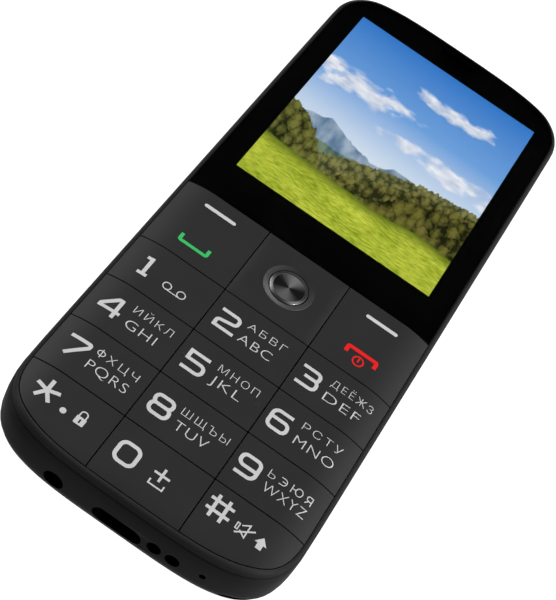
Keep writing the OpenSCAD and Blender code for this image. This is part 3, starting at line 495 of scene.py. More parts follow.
def drop_walls(bm, base, round_r):
    """Give a patch straight walls down to a base, close it below and round its upper edge."""
    rim_edges = [e for e in bm.edges if e.is_boundary]
    pulled = bmesh.ops.extrude_edge_only(bm, edges=rim_edges)["geom"]
    low = {v for v in pulled if isinstance(v, bmesh.types.BMVert)}
    for vert in low:
        vert.co.z = base
    low_edges = [e for e in pulled if isinstance(e, bmesh.types.BMEdge) and set(e.verts) <= low]
    bmesh.ops.contextual_create(bm, geom=low_edges)
    bmesh.ops.recalc_face_normals(bm, faces=bm.faces)
    bmesh.ops.bevel(bm, geom=rim_edges, offset=round_r, segments=3, profile=0.5, affect="EDGES", material=-1)


lens_low = SEAM_Y + SEAM_GAP / 2


def lens_bottom(share):
    """Lower edge of the lens along the seam."""
    return Vector((FACE[0] * (2 * share - 1), lens_low))


def lens_right(share):
    """Right edge of the lens from the seam up to the split of the corner."""
    half_w, high, _, top_l, _ = FACE
    if share < LENS_STRAIGHT:
        return Vector((half_w, lens_low + (high - top_l - lens_low) * share / LENS_STRAIGHT))
    return face_end(CORNER_ANGLE * (share - LENS_STRAIGHT) / (1 - LENS_STRAIGHT), True)


def lens_left(share):
    """Left edge of the lens, the mirror image of the right one."""
    point = lens_right(share)
    return Vector((-point.x, point.y))


lens_bm = bmesh.new()
add_patch(lens_bm, lens_bottom, end_edge(math.pi - CORNER_ANGLE, CORNER_ANGLE, True), lens_left, lens_right,
          *LENS_GRID)
drop_walls(lens_bm, LENS_BASE, LENS_ROUND)
slot_bm = bmesh.new()
add_slot(slot_bm, *EAR_SLOT, LENS_BASE - CUT_OVER, FACE_Z + CUT_OVER)
lens_clear, lens_tree = new_material("lens_clear")
haze = noise(lens_tree, object_place(lens_tree), HAZE_SCALE, HAZE_DETAIL)
lens_rough = map_range(lens_tree, haze, end=(0.0, HAZE_ROUGH))
set_shader(lens_tree, {"Roughness": lens_rough, "Base Color": LENS_TINT, "Transmission Weight": 1.0,
                       "IOR": LENS_INDEX})
lens = finish_piece("front_lens", carve(lens_bm, slot_bm), "case", "lens", lens_clear, "screen_lens",
                    sharp=CRISP_ANGLE)
lens.data.materials.append(grained("lens_edge", MASK_BLACK, MASK_ROUGH, MASK_GLOSS))
for polygon in lens.data.polygons:
    rounding = polygon.area < ROUND_AREA * MM ** 2
    polygon.material_index = int(rounding or abs(polygon.normal.z) < WALL_TILT)


# Lens print: the black frame under the lens with the window of the screen left clear.
# It is screen-printed on the back of the lens and holds it by its adhesive.
def dress(node, material):
    """Give a built piece its finish."""
    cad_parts[node].data.materials.clear()
    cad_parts[node].data.materials.append(material)


dress("lens_mask", grained("mask_black", MASK_BLACK, MASK_ROUGH, MASK_GLOSS))

# Screen: the lit panel under the lens. It shows a made-up landscape of hills, woods, meadow and clouds.
# The picture is drawn by the panel's own material; places in it are shares of its width and height.
SCREEN_X = (-21.335, 21.335)
SCREEN_Y = (3.8213, 60.7213)
PANEL_BLACK = (0.004, 0.004, 0.005, 1.0)
PANEL_GLOSS = 0.05
PANEL_LIGHT = 1.06
LINE_SOFT, FIELD_SOFT = 0.003, 0.004
SKY = ((0.34, (226, 236, 244)), (0.66, (112, 164, 224)), (1.0, (52, 122, 203)))
# A cloud bank or wooded mound is its middle across and up, and its reach across and up.
CLOUD_BANKS = ((0.20, 0.67, 0.40, 0.085), (0.66, 0.83, 0.26, 0.06), (0.80, 0.53, 0.42, 0.06))
CLOUD_PULL, CLOUD_COVER = 0.24, 0.95
CLOUD_EDGE, CLOUD_REACH, CLOUD_FOLDS = (0.57, 0.72), (-0.7, 0.2), (0.35, 0.65)
CLOUD_GREY, CLOUD_WHITE = (196, 206, 224), (250, 250, 252)
# A field of noise is its stretch across and up, its scale and its detail.
PUFF_NOISE, FOLD_NOISE = ((1.0, 1.9), 7.0, 8.0), ((1.0, 2.2), 11.0, 6.0)
ROCK_NOISE, LEAF_NOISE = ((1.6, 0.8), 9.0, 8.0), ((1.0, 0.8), 70.0, 4.0)
BLADE_NOISE, PATCH_NOISE = ((1.0, 5.0), 26.0, 6.0), ((0.8, 2.4), 5.0, 3.0)
ROCK_RANGE, LEAF_RANGE, GRASS_RANGE = (0.36, 0.66), (0.3, 0.7), (0.36, 0.64)
# A ridge is the scale, detail and seed of its line, its rise, its base, and its dark and light colours.
RIDGES = (
    ((2.4, 6.0, 3.0), 0.22, 0.40, (92, 122, 152), (166, 184, 200)),
    ((3.4, 5.0, 9.0), 0.15, 0.33, (66, 92, 88), (132, 152, 118)),
)
# A wood is its base, its mound, the number and height of its trees, its seed, and its dark and light colours.
WOODS = (
    (0.20, (1.05, 0.0, 0.95, 1.0), 34.0, 0.030, 4.0, (58, 64, 34), (134, 132, 76)),
    (0.17, (1.08, 0.0, 0.80, 1.0), 27.0, 0.036, 11.0, (36, 40, 14), (124, 120, 58)),
    (0.15, (1.10, 0.0, 0.64, 1.0), 22.0, 0.044, 31.0, (22, 26, 4), (112, 108, 46)),
    (0.17, (0.0, 0.0, 0.30, 1.0), 25.0, 0.036, 23.0, (28, 34, 8), (118, 118, 54)),
)
WOOD_RISE = 0.30
TREE_STRETCH = (1.0, 0.72, 1.0)
CROWN_EDGE, CROWN_SHADE, TREE_SHADE, LEAF_SHADE = 0.75, 1.1, 0.5, 0.5
WOOD_RANGE = (0.0, 0.8)
TIP_SCALE, TIP_DETAIL, TIP_SWING = 2.0, 2.0, 0.5
FIELD_LINE, FIELD_RISE, FIELD_BASE, FIELD_FRINGE = (2.2, 2.0, 7.0), 0.06, 0.20, (0.0, 0.05)
BLADE_SHARE, PATCH_SHARE = 0.6, 0.4
GRASS_DARK, GRASS_LIGHT, FRINGE_GREEN = (124, 146, 22), (206, 214, 74), (96, 112, 26)


def srgb(r, g, b):
    """A display colour of 0 to 255 as linear light."""
    light = [c / 255 for c in (r, g, b)]
    return [c / 12.92 if c <= 0.04045 else ((c + 0.055) / 1.055) ** 2.4 for c in light] + [1.0]


screen_picture, picture = new_material("screen_picture")
panel_place = add_node(picture, "ShaderNodeSeparateXYZ", {0: object_place(picture)}).outputs
across = map_range(picture, panel_place[0], [x * MM for x in SCREEN_X], clamp=False)
up = map_range(picture, panel_place[1], [y * MM for y in SCREEN_Y], clamp=False)
picture_place = add_node(picture, "ShaderNodeCombineXYZ", {0: across, 1: up}).outputs[0]


def calc(operation, *values):
    """A Math node in the picture."""
    return math_node(picture, operation, *values)


def scaled(value, share, base=0.0):
    """A value times a share, upon a base."""
    return calc("MULTIPLY_ADD", value, share, base)


def between(share, dark, light):
    """A display colour between two others."""
    return mix_color(picture, share, srgb(*dark), srgb(*light))


def noise_line(scale, detail, seed):
    """Noise across the picture, about nought."""
    wave = add_node(picture, "ShaderNodeTexNoise",
                    {"W": calc("ADD", across, seed), "Scale": scale, "Detail": detail}, noise_dimensions="1D")
    return calc("SUBTRACT", wave.outputs[0], 0.5)


def noise_field(stretch, scale, detail):
    """Noise over the picture, stretched across and up."""
    spread = add_node(picture, "ShaderNodeMapping", {"Vector": picture_place, "Scale": (*stretch, 1.0)})
    return noise(picture, spread.outputs[0], scale, detail)


def lay_below(height, soft, under, over):
    """Lay one colour over another under a height line of the picture."""
    share = map_range(picture, calc("SUBTRACT", height, up), (-soft, soft))
    return mix_color(picture, share, under, over)


def mound(x, y, reach_x, reach_y):
    """A soft oval mound, 1 at its middle and 0 at its edge."""
    dx = calc("DIVIDE", calc("SUBTRACT", across, x), reach_x)
    dy = calc("DIVIDE", calc("SUBTRACT", up, y), reach_y)
    return calc("SUBTRACT", 1.0, calc("ADD", calc("MULTIPLY", dx, dx), calc("MULTIPLY", dy, dy)))


sky = add_node(picture, "ShaderNodeValToRGB", {0: up})
sky_stops = sky.color_ramp.elements
sky_stops.new(SKY[1][0])
for stop, (height, color) in zip(sky_stops, SKY):
    stop.position = height
    stop.color = srgb(*color)
banks = mound(*CLOUD_BANKS[0])
for bank in CLOUD_BANKS[1:]:
    banks = calc("MAXIMUM", banks, mound(*bank))
puffs = calc("ADD", noise_field(*PUFF_NOISE), scaled(banks, CLOUD_PULL))
cloud = calc("MULTIPLY", map_range(picture, puffs, CLOUD_EDGE), map_range(picture, banks, CLOUD_REACH))
cloud_color = between(map_range(picture, noise_field(*FOLD_NOISE), CLOUD_FOLDS), CLOUD_GREY, CLOUD_WHITE)
view = mix_color(picture, scaled(cloud, CLOUD_COVER), sky.outputs[0], cloud_color)

rock = map_range(picture, noise_field(*ROCK_NOISE), ROCK_RANGE)
for line, rise, base, dark, light in RIDGES:
    view = lay_below(scaled(noise_line(*line), rise, base), LINE_SOFT, view, between(rock, dark, light))

leaf = calc("SUBTRACT", map_range(picture, noise_field(*LEAF_NOISE), LEAF_RANGE), 0.5)
for base, hill, trees, tall, seed, dark, light in WOODS:
    stand = add_node(picture, "ShaderNodeMapping", {
        "Vector": picture_place, "Location": (seed, seed, 0.0), "Scale": TREE_STRETCH}).outputs[0]
    crowns = add_node(picture, "ShaderNodeTexVoronoi", {"Vector": stand, "Scale": trees},
                      voronoi_dimensions="2D").outputs
    lot = add_node(picture, "ShaderNodeSeparateColor", {0: crowns["Color"]}).outputs[0]
    tree_tone = scaled(calc("SUBTRACT", lot, 0.5), TREE_SHADE)
    shade = scaled(calc("SUBTRACT", CROWN_EDGE, crowns["Distance"]), CROWN_SHADE, tree_tone)
    shade = scaled(leaf, LEAF_SHADE, shade)
    tips = calc("ADD", noise_line(trees * TIP_SCALE, TIP_DETAIL, seed), scaled(lot, TIP_SWING))
    skyline = scaled(tips, tall, scaled(calc("MAXIMUM", mound(*hill), 0.0), WOOD_RISE, base))
    view = lay_below(skyline, LINE_SOFT, view, between(map_range(picture, shade, WOOD_RANGE), dark, light))

grass = scaled(noise_field(*BLADE_NOISE), BLADE_SHARE, scaled(noise_field(*PATCH_NOISE), PATCH_SHARE))
grass_color = between(map_range(picture, grass, GRASS_RANGE), GRASS_DARK, GRASS_LIGHT)
field = scaled(noise_line(*FIELD_LINE), FIELD_RISE, FIELD_BASE)
fringe = map_range(picture, calc("SUBTRACT", field, up), FIELD_FRINGE)
grass_color = mix_color(picture, fringe, srgb(*FRINGE_GREEN), grass_color)
view = lay_below(field, FIELD_SOFT, view, grass_color)
set_shader(picture, {"Base Color": PANEL_BLACK, "Specular IOR Level": PANEL_GLOSS, "Emission Color": view,
                     "Emission Strength": PANEL_LIGHT})
dress("lcd_panel", screen_picture)

# Number keys: twelve moulded caps that fill the lower face edge to edge, each with a stem over its snap dome.
# Matt dark plastic with light pad-printed signs that follow the crown of the cap.
# Prints are drawn flat, as slabs, in a frame that PRINT_SHIFT moves into place along Y.
ROW_EDGES = (SEAM_Y, -23.3001, -34.4894, -45.6787, -56.868, FACE[2])
ROW_MIDDLES = (-14.6994, -28.8948, -40.0841, -51.2734, -62.4627)
COLUMN_SEAM = 8.6694
COLUMN_MIDDLE = 17.36
KEY_BASE = 10.6
KEY_ROUND = 0.02
KEY_SEAM = 0.22
MIDDLE_GRID, SIDE_GRID = (20, 20), (32, 24)
STEM_R, STEM_BASE, STEM_TOP = 2.2, 9.0, 10.9
PIP_X, PIP_R, PIP_FLAT, PIP_SUNK, PIP_TURN = 7.35, 0.4, 0.42, 0.03, math.radians(4)
PIP_SIDES = (24, 12)
PRINT_SHIFT = -6.1
PRINT_LIFT = 0.02
PRINT_CUTS = (20.0, 20.8, 21.6, 22.4, 23.2, 24.0)
STROKE, HASH_STROKE = 0.69, 0.60
FINE, THIN, REEL, SIGN, BOLD = 0.13, 0.17, 0.21, 0.28, 0.45
ARC_STEPS, HOOP_STEPS, MITRE_LIMIT = 8, 32, 0.4
SLAB, HAIR = 1.0, 0.003
LETTER_THIN = -0.018
LETTER_STEPS = 6
KEY_GREY = (0.0245, 0.0245, 0.025)
KEY_ROUGH, KEY_GLOSS = 0.5, 0.12
PRINT_ROUGH, PRINT_GRAIN = 0.5, 0.002
PRINT_WHITE, PRINT_GREEN, PRINT_RED = (0.64, 0.64, 0.64), (0.035, 0.53, 0.125), (0.90, 0.004, 0.004)
key_plastic = grained("key_plastic", KEY_GREY, KEY_ROUGH, KEY_GLOSS)
white_print = grained("white_print", PRINT_WHITE, PRINT_ROUGH, depth=PRINT_GRAIN)
green_print = grained("green_print", PRINT_GREEN, PRINT_ROUGH, depth=PRINT_GRAIN)
red_print = grained("red_print", PRINT_RED, PRINT_ROUGH, depth=PRINT_GRAIN)


def face_side(y):
    """Half width of the face at a place along it."""
    half_w, _, low, _, bottom_l = FACE
    depth = (low + bottom_l - y) / bottom_l
    if depth <= 0:
        return half_w
    return half_w * (1 - min(depth, 1.0) ** BOTTOM_POWER) ** (1 / BOTTOM_POWER)


def straight(a, b):
    """An edge curve that runs straight between two points."""
    start, end = Vector(a), Vector(b)
    return lambda share: start.lerp(end, share)


def side_edge(low, high):
    """An edge curve up the right side of the face."""
    return lambda share: Vector((face_side(low + (high - low) * share), low + (high - low) * share))


def add_middle_cap(bm, low, high):
    """The crowned top of a key in the middle column."""
    reach = COLUMN_SEAM - KEY_SEAM / 2
    left_low, right_low, left_high, right_high = (-reach, low), (reach, low), (-reach, high), (reach, high)
    add_patch(bm, straight(left_low, right_low), straight(left_high, right_high),
              straight(left_low, left_high), straight(right_low, right_high), *MIDDLE_GRID)


def add_cap(bm, column, row):
    """The crowned top of the key in a column of -1, 0 or 1 and a row counted from the seam."""
    high, low = ROW_EDGES[row] - KEY_SEAM / 2, ROW_EDGES[row + 1] + KEY_SEAM / 2
    in_last_row = row == len(ROW_EDGES) - 2
    if column == 0:
        add_middle_cap(bm, FACE[2] if in_last_row else low, high)
        return
    x0 = COLUMN_SEAM + KEY_SEAM / 2
    if in_last_row:
        half_w, tip, bend = FACE[0], FACE[2], FACE[2] + FACE[4]
        start = math.acos((x0 / half_w) ** (BOTTOM_POWER / 2))
        end = math.asin(((bend - high) / (bend - tip)) ** (BOTTOM_POWER / 2))
        bottom, right = end_edge(start, CORNER_ANGLE, False), end_edge(CORNER_ANGLE, end, False)
    else:
        bottom, right = straight((x0, low), (face_side(low), low)), side_edge(low, high)
    top = straight((x0, high), (face_side(high), high))
    left = straight(bottom(0.0), (x0, high))
    add_patch(bm, bottom, top, left, right, *SIDE_GRID, flip=column < 0)


def rounded_path(corners):
    """Points of a path whose corners, given as x, y and radius, are turned by arcs."""
    points = []
    for i, (x, y, r) in enumerate(corners):
        here = Vector((x, y))
        if r == 0 or i in (0, len(corners) - 1):
            points.append(here)
            continue
        into = (Vector(corners[i - 1][:2]) - here).normalized()
        out = (Vector(corners[i + 1][:2]) - here).normalized()
        half = into.angle(out) / 2
        reach = r / math.tan(half)
        middle = here + (into + out).normalized() * (r / math.sin(half))
        start, end = here + into * reach - middle, here + out * reach - middle
        turn = start.angle_signed(end)
        points += [middle + Matrix.Rotation(-turn * k / ARC_STEPS, 2) @ start for k in range(ARC_STEPS + 1)]
    return points


def add_ribbon(bm, points, width, closed=False):
    """A flat stroke of even width along a path."""
    count = len(points)
    sides = []
    for i, here in enumerate(points):
        before = points[i - 1] if closed or i else None
        after = points[(i + 1) % count] if closed or i < count - 1 else None
        into = (here - before).normalized() if before is not None else (after - here).normalized()
        out = (after - here).normalized() if after is not None else into
        along = (into + out).normalized()
        aside = Vector((-along.y, along.x)) * (width / 2 / max(MITRE_LIMIT, along.dot(out)))
        sides.append([bm.verts.new((*(here + aside * way), 0.0)) for way in (1, -1)])
    for i in range(count if closed else count - 1):
        a, b = sides[i], sides[(i + 1) % count]
        bm.faces.new((a[0], a[1], b[1], b[0]))


def thicken(bm):
    """Make a flat print a slab, so that prints can be joined."""
    raise_faces(bm, bm.faces[:], SLAB)
    return bm


def stroke(corners, width):
    """A slab along a path of x, y and corner radius; a path that ends where it starts makes a closed loop."""
    bm = bmesh.new()
    points = rounded_path(corners)
    if corners[0] == corners[-1]:
        add_ribbon(bm, points[:-1], width, closed=True)
    else:
        add_ribbon(bm, points, width)
    return thicken(bm)


def bar(x0, y0, x1, y1, width):
    """A straight slab."""
    return stroke([(x0, y0, 0), (x1, y1, 0)], width)


def hoop(x, y, reach_x, reach_y, width):
    """An oval ring slab."""
    bm = bmesh.new()
    turns = [math.tau * k / HOOP_STEPS for k in range(HOOP_STEPS)]
    path = [Vector((x + reach_x * math.cos(t), y + reach_y * math.sin(t))) for t in turns]
    add_ribbon(bm, path, width, closed=True)
    return thicken(bm)


def disc(x, y, r):
    """A round slab."""
    bm = bmesh.new()
    middle = Matrix.Translation((x, y, 0))
    bmesh.ops.create_circle(bm, cap_ends=True, segments=HOOP_STEPS, radius=r, matrix=middle)
    return thicken(bm)


def plate(corners):
    """A slab with a given outline of x, y."""
    bm = bmesh.new()
    bm.faces.new([bm.verts.new((x, y, 0)) for x, y in corners])
    return thicken(bm)


def cut_out(slab, hole):
    """A slab with a hole of another slab's shape right through it."""
    for vert in hole.verts:
        vert.co.z = 2 * SLAB if vert.co.z > SLAB / 2 else -SLAB
    return carve(slab, hole)


def joined(slabs):
    """Slabs joined to one; each is a hair off the last, so that no two faces lie in one plane."""
    whole = slabs[0]
    for i, slab in enumerate(slabs[1:], 1):
        bmesh.ops.scale(slab, vec=(1, 1, 1 + 2 * HAIR * i), verts=slab.verts)
        bmesh.ops.translate(slab, vec=(HAIR * i, HAIR * i, -HAIR * i), verts=slab.verts)
        whole = carve(whole, slab, "UNION")
    return whole


def ink(bm, slabs):
    """Join slabs and add the top of the whole to the prints of a key."""
    whole = joined(slabs)
    under = [f for f in whole.faces if f.normal.z < 0.5]
    bmesh.ops.delete(whole, geom=under, context="FACES")
    mesh = bpy.data.meshes.new("ink")
    whole.to_mesh(mesh)
    whole.free()
    bm.from_mesh(mesh)
    bpy.data.meshes.remove(mesh)


def add_word(bm, word, x0, x1, base, cap, font_cap, spacing):
    """Small letters set to a width and a cap height."""
    curve = bpy.data.curves.new("word", "FONT")
    curve.body = word
    curve.space_character = spacing
    curve.resolution_u = LETTER_STEPS
    curve.offset = LETTER_THIN
    holder = bpy.data.objects.new("word", curve)
    bpy.context.scene.collection.objects.link(holder)
    letters = bpy.data.meshes.new_from_object(holder.evaluated_get(bpy.context.evaluated_depsgraph_get()))
    reach = [v.co.x for v in letters.vertices]
    wide = (x1 - x0) / (max(reach) - min(reach))
    place = Matrix.Translation((x0 - min(reach) * wide, base, 0))
    letters.transform(place @ Matrix.Diagonal((wide, cap / font_cap, 1.0, 1.0)))
    bm.from_mesh(letters)
    bpy.data.objects.remove(holder)
    bpy.data.curves.remove(curve)
    bpy.data.meshes.remove(letters)


# Strokes of the large signs: paths of x, y and corner radius from the sign's lower left corner.
DIGIT_W, DIGIT_H = 4.3, 4.55
DIGIT_WIDE = 0.975
LEFT, CENTRE, RIGHT = STROKE / 2, DIGIT_W / 2, DIGIT_W - STROKE / 2
LOW, WAIST, HIGH = STROKE / 2, DIGIT_H / 2 + 0.1, DIGIT_H - STROKE / 2
STAR_X, STAR_Y, STAR_REACH, STAR_ARMS = 2.25, 2.2, 2.3, 5
DIGIT_STROKES = {
    "1": [[(1.05, DIGIT_H, 0), (1.05, 0.0, 0)], [(0.0, 4.15, 0), (1.05, 4.15, 0)],
          [(0.0, 0.33, 0), (1.95, 0.33, 0)]],
    "2": [[(0.1, HIGH, 0), (RIGHT, HIGH, 0.8), (RIGHT, 2.45, 0.75), (LEFT, 1.8, 0.6), (LEFT, LOW, 0.0),
           (DIGIT_W, LOW, 0)]],
    "3": [[(0.1, HIGH, 0), (RIGHT - 0.15, HIGH, 0.85), (RIGHT - 0.15, WAIST, 0.7), (1.1, WAIST, 0)],
          [(1.1, WAIST, 0), (RIGHT, WAIST, 0.8), (RIGHT, LOW, 0.9), (0.1, LOW, 0)]],
    "5": [[(4.05, HIGH, 0), (LEFT, HIGH, 0), (LEFT, 2.2, 0)],
          [(0.05, 2.45, 0), (RIGHT, 2.45, 0.9), (RIGHT, LOW, 0.95), (0.05, LOW, 0)]],
    "6": [[(4.0, HIGH, 0), (LEFT, HIGH, 1.15), (LEFT, LOW, 0.95), (RIGHT, LOW, 0.9), (RIGHT, 2.5, 0.9),
           (1.9, 2.5, 0)], [(2.0, 2.5, 0), (LEFT, 2.5, 0)]],
    "7": [[(0.05, HIGH, 0), (RIGHT, HIGH, 0.3), (RIGHT - 0.1, 3.45, 0.3), (0.85, 0.25, 0)]],
    "8": [[(CENTRE, HIGH, 0), (RIGHT - 0.1, HIGH, 0.85), (RIGHT - 0.1, WAIST, 0.75),
           (LEFT + 0.1, WAIST, 0.75), (LEFT + 0.1, HIGH, 0.85), (CENTRE, HIGH, 0)],
          [(CENTRE, LOW, 0), (RIGHT, LOW, 0.95), (RIGHT, WAIST, 0.8), (LEFT, WAIST, 0.8), (LEFT, LOW, 0.95),
           (CENTRE, LOW, 0)]],
    "0": [[(CENTRE, HIGH, 0), (RIGHT, HIGH, 1.15), (RIGHT, LOW, 1.15), (LEFT, LOW, 1.15), (LEFT, HIGH, 1.15),
           (CENTRE, HIGH, 0)]],
    "#": [[(1.17, 0.0, 0), (1.17, DIGIT_H, 0)], [(3.17, 0.0, 0), (3.17, DIGIT_H, 0)],
          [(0.0, 3.37, 0), (DIGIT_W + 0.1, 3.37, 0)], [(0.0, 1.4, 0), (DIGIT_W + 0.1, 1.4, 0)]],
}
DIGIT_STROKES["9"] = [[(DIGIT_W - x, DIGIT_H - y, r) for x, y, r in path] for path in DIGIT_STROKES["6"]]
star_turns = [math.radians(90 + 360 * k / STAR_ARMS) for k in range(STAR_ARMS)]
star_tips = [(STAR_X + STAR_REACH * math.cos(t), STAR_Y + STAR_REACH * math.sin(t), 0) for t in star_turns]
DIGIT_STROKES["*"] = [[(STAR_X, STAR_Y, 0), tip] for tip in star_tips]
FOUR_OUTSIDE = ((2.98, 0.0), (3.68, 0.0), (3.68, 1.08), (4.26, 1.08), (4.26, 1.74), (3.68, 1.74), (3.68, 4.4),
                (3.55, 4.55), (2.8, 4.55), (2.45, 4.4), (0.1, 2.1), (0.0, 1.85), (0.0, 1.08), (2.98, 1.08))
FOUR_INSIDE = ((0.8, 1.74), (2.98, 1.74), (2.98, 3.85))
# A print is the key's column and row, its large sign with left end and base,
# and its words with left end, right end and base.
KEY_PRINTS = {
    "key_1": (-1, 1, "1", -22.45, -25.14, []),
    "key_2": (0, 1, "2", -7.0, -25.2, [("AБВГ", -1.64, 6.0, -21.6), ("ABC", -1.86, 4.64, -25.1)]),
    "key_3": (1, 1, "3", 9.8, -25.2,
              [("ДЕЁ", 15.5, 20.04, -21.6), ("DEF", 15.5, 22.7, -25.1), ("З", 22.89, 23.95, -21.6)]),
    "key_4": (-1, 2, "4", -23.86, -36.4, [("ИЙКЛ", -18.36, -10.8, -32.8), ("GHI", -18.1, -12.3, -36.3)]),
    "key_5": (0, 2, "5", -6.95, -36.4, [("МНОП", -1.3, 6.55, -32.8), ("JKL", -1.4, 4.5, -35.8)]),
    "key_6": (1, 2, "6", 9.8, -36.4, [("РСТУ", 15.5, 23.3, -32.8), ("MNO", 15.5, 23.2, -36.3)]),
    "key_7": (-1, 3, "7", -23.7, -47.5, [("ХЦЧ", -16.55, -10.6, -44.3), ("PQRS", -18.7, -10.95, -47.5)]),
    "key_8": (0, 3, "8", -7.1, -47.5, [("ШЩЪЫ", -1.86, 7.1, -44.3), ("TUV", -1.64, 4.6, -47.5)]),
    "key_9": (1, 3, "9", 9.8, -47.5, [("Ь", 15.2, 16.4, -44.6), ("WXYZ", 15.5, 23.7, -47.5)]),
    "key_star": (-1, 4, "*", -22.9, -57.4, []),
    "key_0": (0, 4, "0", -6.77, -58.7, []),
    "key_hash": (1, 4, "#", 9.8, -57.2, []),
}
# A word's style is its cap height, the cap height of the font for such letters, and the spacing.
UPPER_STYLE, LOWER_STYLE = (1.65, 0.728, 1.25), (2.0, 0.69, 1.1)


def digit_print(digit, x, y):
    """The large sign of a key as slabs to join."""
    if digit == "4":
        outside, inside = ([(x + DIGIT_WIDE * a, y + b) for a, b in path]
                           for path in (FOUR_OUTSIDE, FOUR_INSIDE))
        return [cut_out(plate(outside), plate(inside))]
    strokes = [[(x + DIGIT_WIDE * a, y + b, r) for a, b, r in path] for path in DIGIT_STROKES[digit]]
    width = HASH_STROKE if digit == "#" else STROKE
    return [stroke(path, width) for path in strokes]


# Small signs beside the digits: each function gives lists of slabs, and each list is joined to one print.
def voice_mail():
    """Two reels on a tape."""
    left, right, y, r = -16.72, -13.86, -24.0, 0.76
    return [[hoop(left, y, r, r, REEL), hoop(right, y, r, r, REEL), bar(left, y - r, right, y - r, REEL)]]


def armed_letter():
    """The letter with a stem and four arms."""
    x, y, low, high = 21.48, -20.78, -21.6, -19.95
    link, near, far = 0.2, 0.14, 0.84
    arms = [bar(x + side * near, y, x + side * far, end, FINE)
            for side in (-1, 1) for end in (-19.97, -21.59)]
    return [[bar(x, low, x, high, FINE), bar(x - link, y, x + link, y, FINE), *arms]]


def ringed_letter():
    """The letter with a ring round its stem."""
    x = -17.85
    return [[hoop(x, -43.4, 0.66, 0.52, THIN), bar(x, -44.35, x, -42.5, THIN)]]


def round_letters():
    """The last three letters of the second alphabet."""
    low, middle, high = -44.6, -43.77, -42.95
    link = 0.16
    bowl = [(17.3, -43.1, 0), (18.55, -43.1, 0.6), (18.55, -44.45, 0.6), (17.3, -44.45, 0)]
    loop = [(23.5, -43.03, 0), (22.5, -43.03, 0.42), (22.5, -43.92, 0.42), (23.5, -43.92, 0)]
    return [[stroke(bowl, THIN), bar(17.7, middle, 18.5, middle, link)],
            [bar(19.6, low, 19.6, high, THIN), bar(19.6, middle, 20.35, middle, link),
             hoop(20.95, middle, 0.64, 0.74, THIN)],
            [bar(23.5, low, 23.5, high, THIN), stroke(loop, THIN), bar(23.0, -43.9, 22.42, low, 0.18)]]


def dot_and_padlock():
    """A dot, and a padlock with a keyhole."""
    body = [(-14.45, -57.25), (-12.9, -57.25), (-12.78, -57.1), (-12.78, -55.68), (-14.57, -55.68),
            (-14.57, -57.1)]
    keyhole = bar(-13.68, -56.9, -13.68, -56.1, 0.3)
    shackle = [(-14.27, -55.75, 0), (-14.27, -54.5, 0.55), (-13.08, -54.5, 0.55), (-13.08, -55.75, 0)]
    return [[disc(-16.77, -56.6, 0.56)], [cut_out(plate(body), keyhole), stroke(shackle, 0.24)]]


def plus_and_tray():
    """A plus over the tray that stands for a space."""
    tray = [(0.45, -57.55, 0), (0.45, -58.45, 0), (3.0, -58.45, 0), (3.0, -57.55, 0)]
    plus = [bar(0.3, -56.05, 3.15, -56.05, BOLD), bar(1.72, -54.65, 1.72, -57.4, BOLD)]
    return [plus, [stroke(tray, SIGN)]]


def mute_and_shift():
    """A crossed-out loudspeaker, and an arrow."""
    box = plate([(15.32, -56.28), (15.97, -56.28), (15.97, -54.88), (15.32, -54.88)])
    box = cut_out(box, plate([(15.53, -56.07), (15.76, -56.07), (15.76, -55.09), (15.53, -55.09)]))
    horn = [(16.25, -55.1, 0), (17.45, -54.25, 0), (17.45, -56.85, 0), (16.25, -56.05, 0)]
    arrow = [(20.2, -54.68), (19.1, -56.03), (19.68, -56.03), (19.68, -57.08), (20.72, -57.08),
             (20.72, -56.03), (21.3, -56.03)]
    return [[box, stroke(horn, 0.24), bar(15.65, -56.9, 18.6, -54.75, SIGN)], [plate(arrow)]]


SMALL_SIGNS = {"key_1": voice_mail, "key_3": armed_letter, "key_7": ringed_letter, "key_9": round_letters,
               "key_star": dot_and_padlock, "key_0": plus_and_tray, "key_hash": mute_and_shift}


def finish_print(name, bm, body, material):
    """Lay a flat print on the crown of its key."""
    bmesh.ops.translate(bm, vec=(0, PRINT_SHIFT, 0), verts=bm.verts)
    for x in PRINT_CUTS:
        for side in (1, -1):
            everything = bm.verts[:] + bm.edges[:] + bm.faces[:]
            bmesh.ops.bisect_plane(bm, geom=everything, plane_co=(x * side, 0, 0), plane_no=(1, 0, 0))
    for vert in bm.verts:
        vert.co.z = crown_z(vert.co.x, vert.co.y) + PRINT_LIFT
    for face in bm.faces:
        face.normal_update()
        if face.normal.z < 0:
            face.normal_flip()
    finish_piece(name, bm, body, "key_plastic", material)


def add_pip(bm, x, y):
    """A low round pip for the finger, turned so that its points miss the cap's grid."""
    place = Matrix.Translation((x, y, FACE_Z - PIP_SUNK)) @ Matrix.Rotation(PIP_TURN, 4, "Z")
    bmesh.ops.create_uvsphere(bm, u_segments=PIP_SIDES[0], v_segments=PIP_SIDES[1], radius=PIP_R,
                              matrix=place @ Matrix.Diagonal((1.0, 1.0, PIP_FLAT, 1.0)))


def finish_cap(key, column, row, joins, material):
    """A key's cap with the stems and pips that are joined to it."""
    cap = bmesh.new()
    add_cap(cap, column, row)
    drop_walls(cap, KEY_BASE, KEY_ROUND)
    cap = carve(cap, joins, "UNION")
    finish_piece("cap_" + key, cap, key, "key_plastic", material, key, sharp=CRISP_ANGLE)


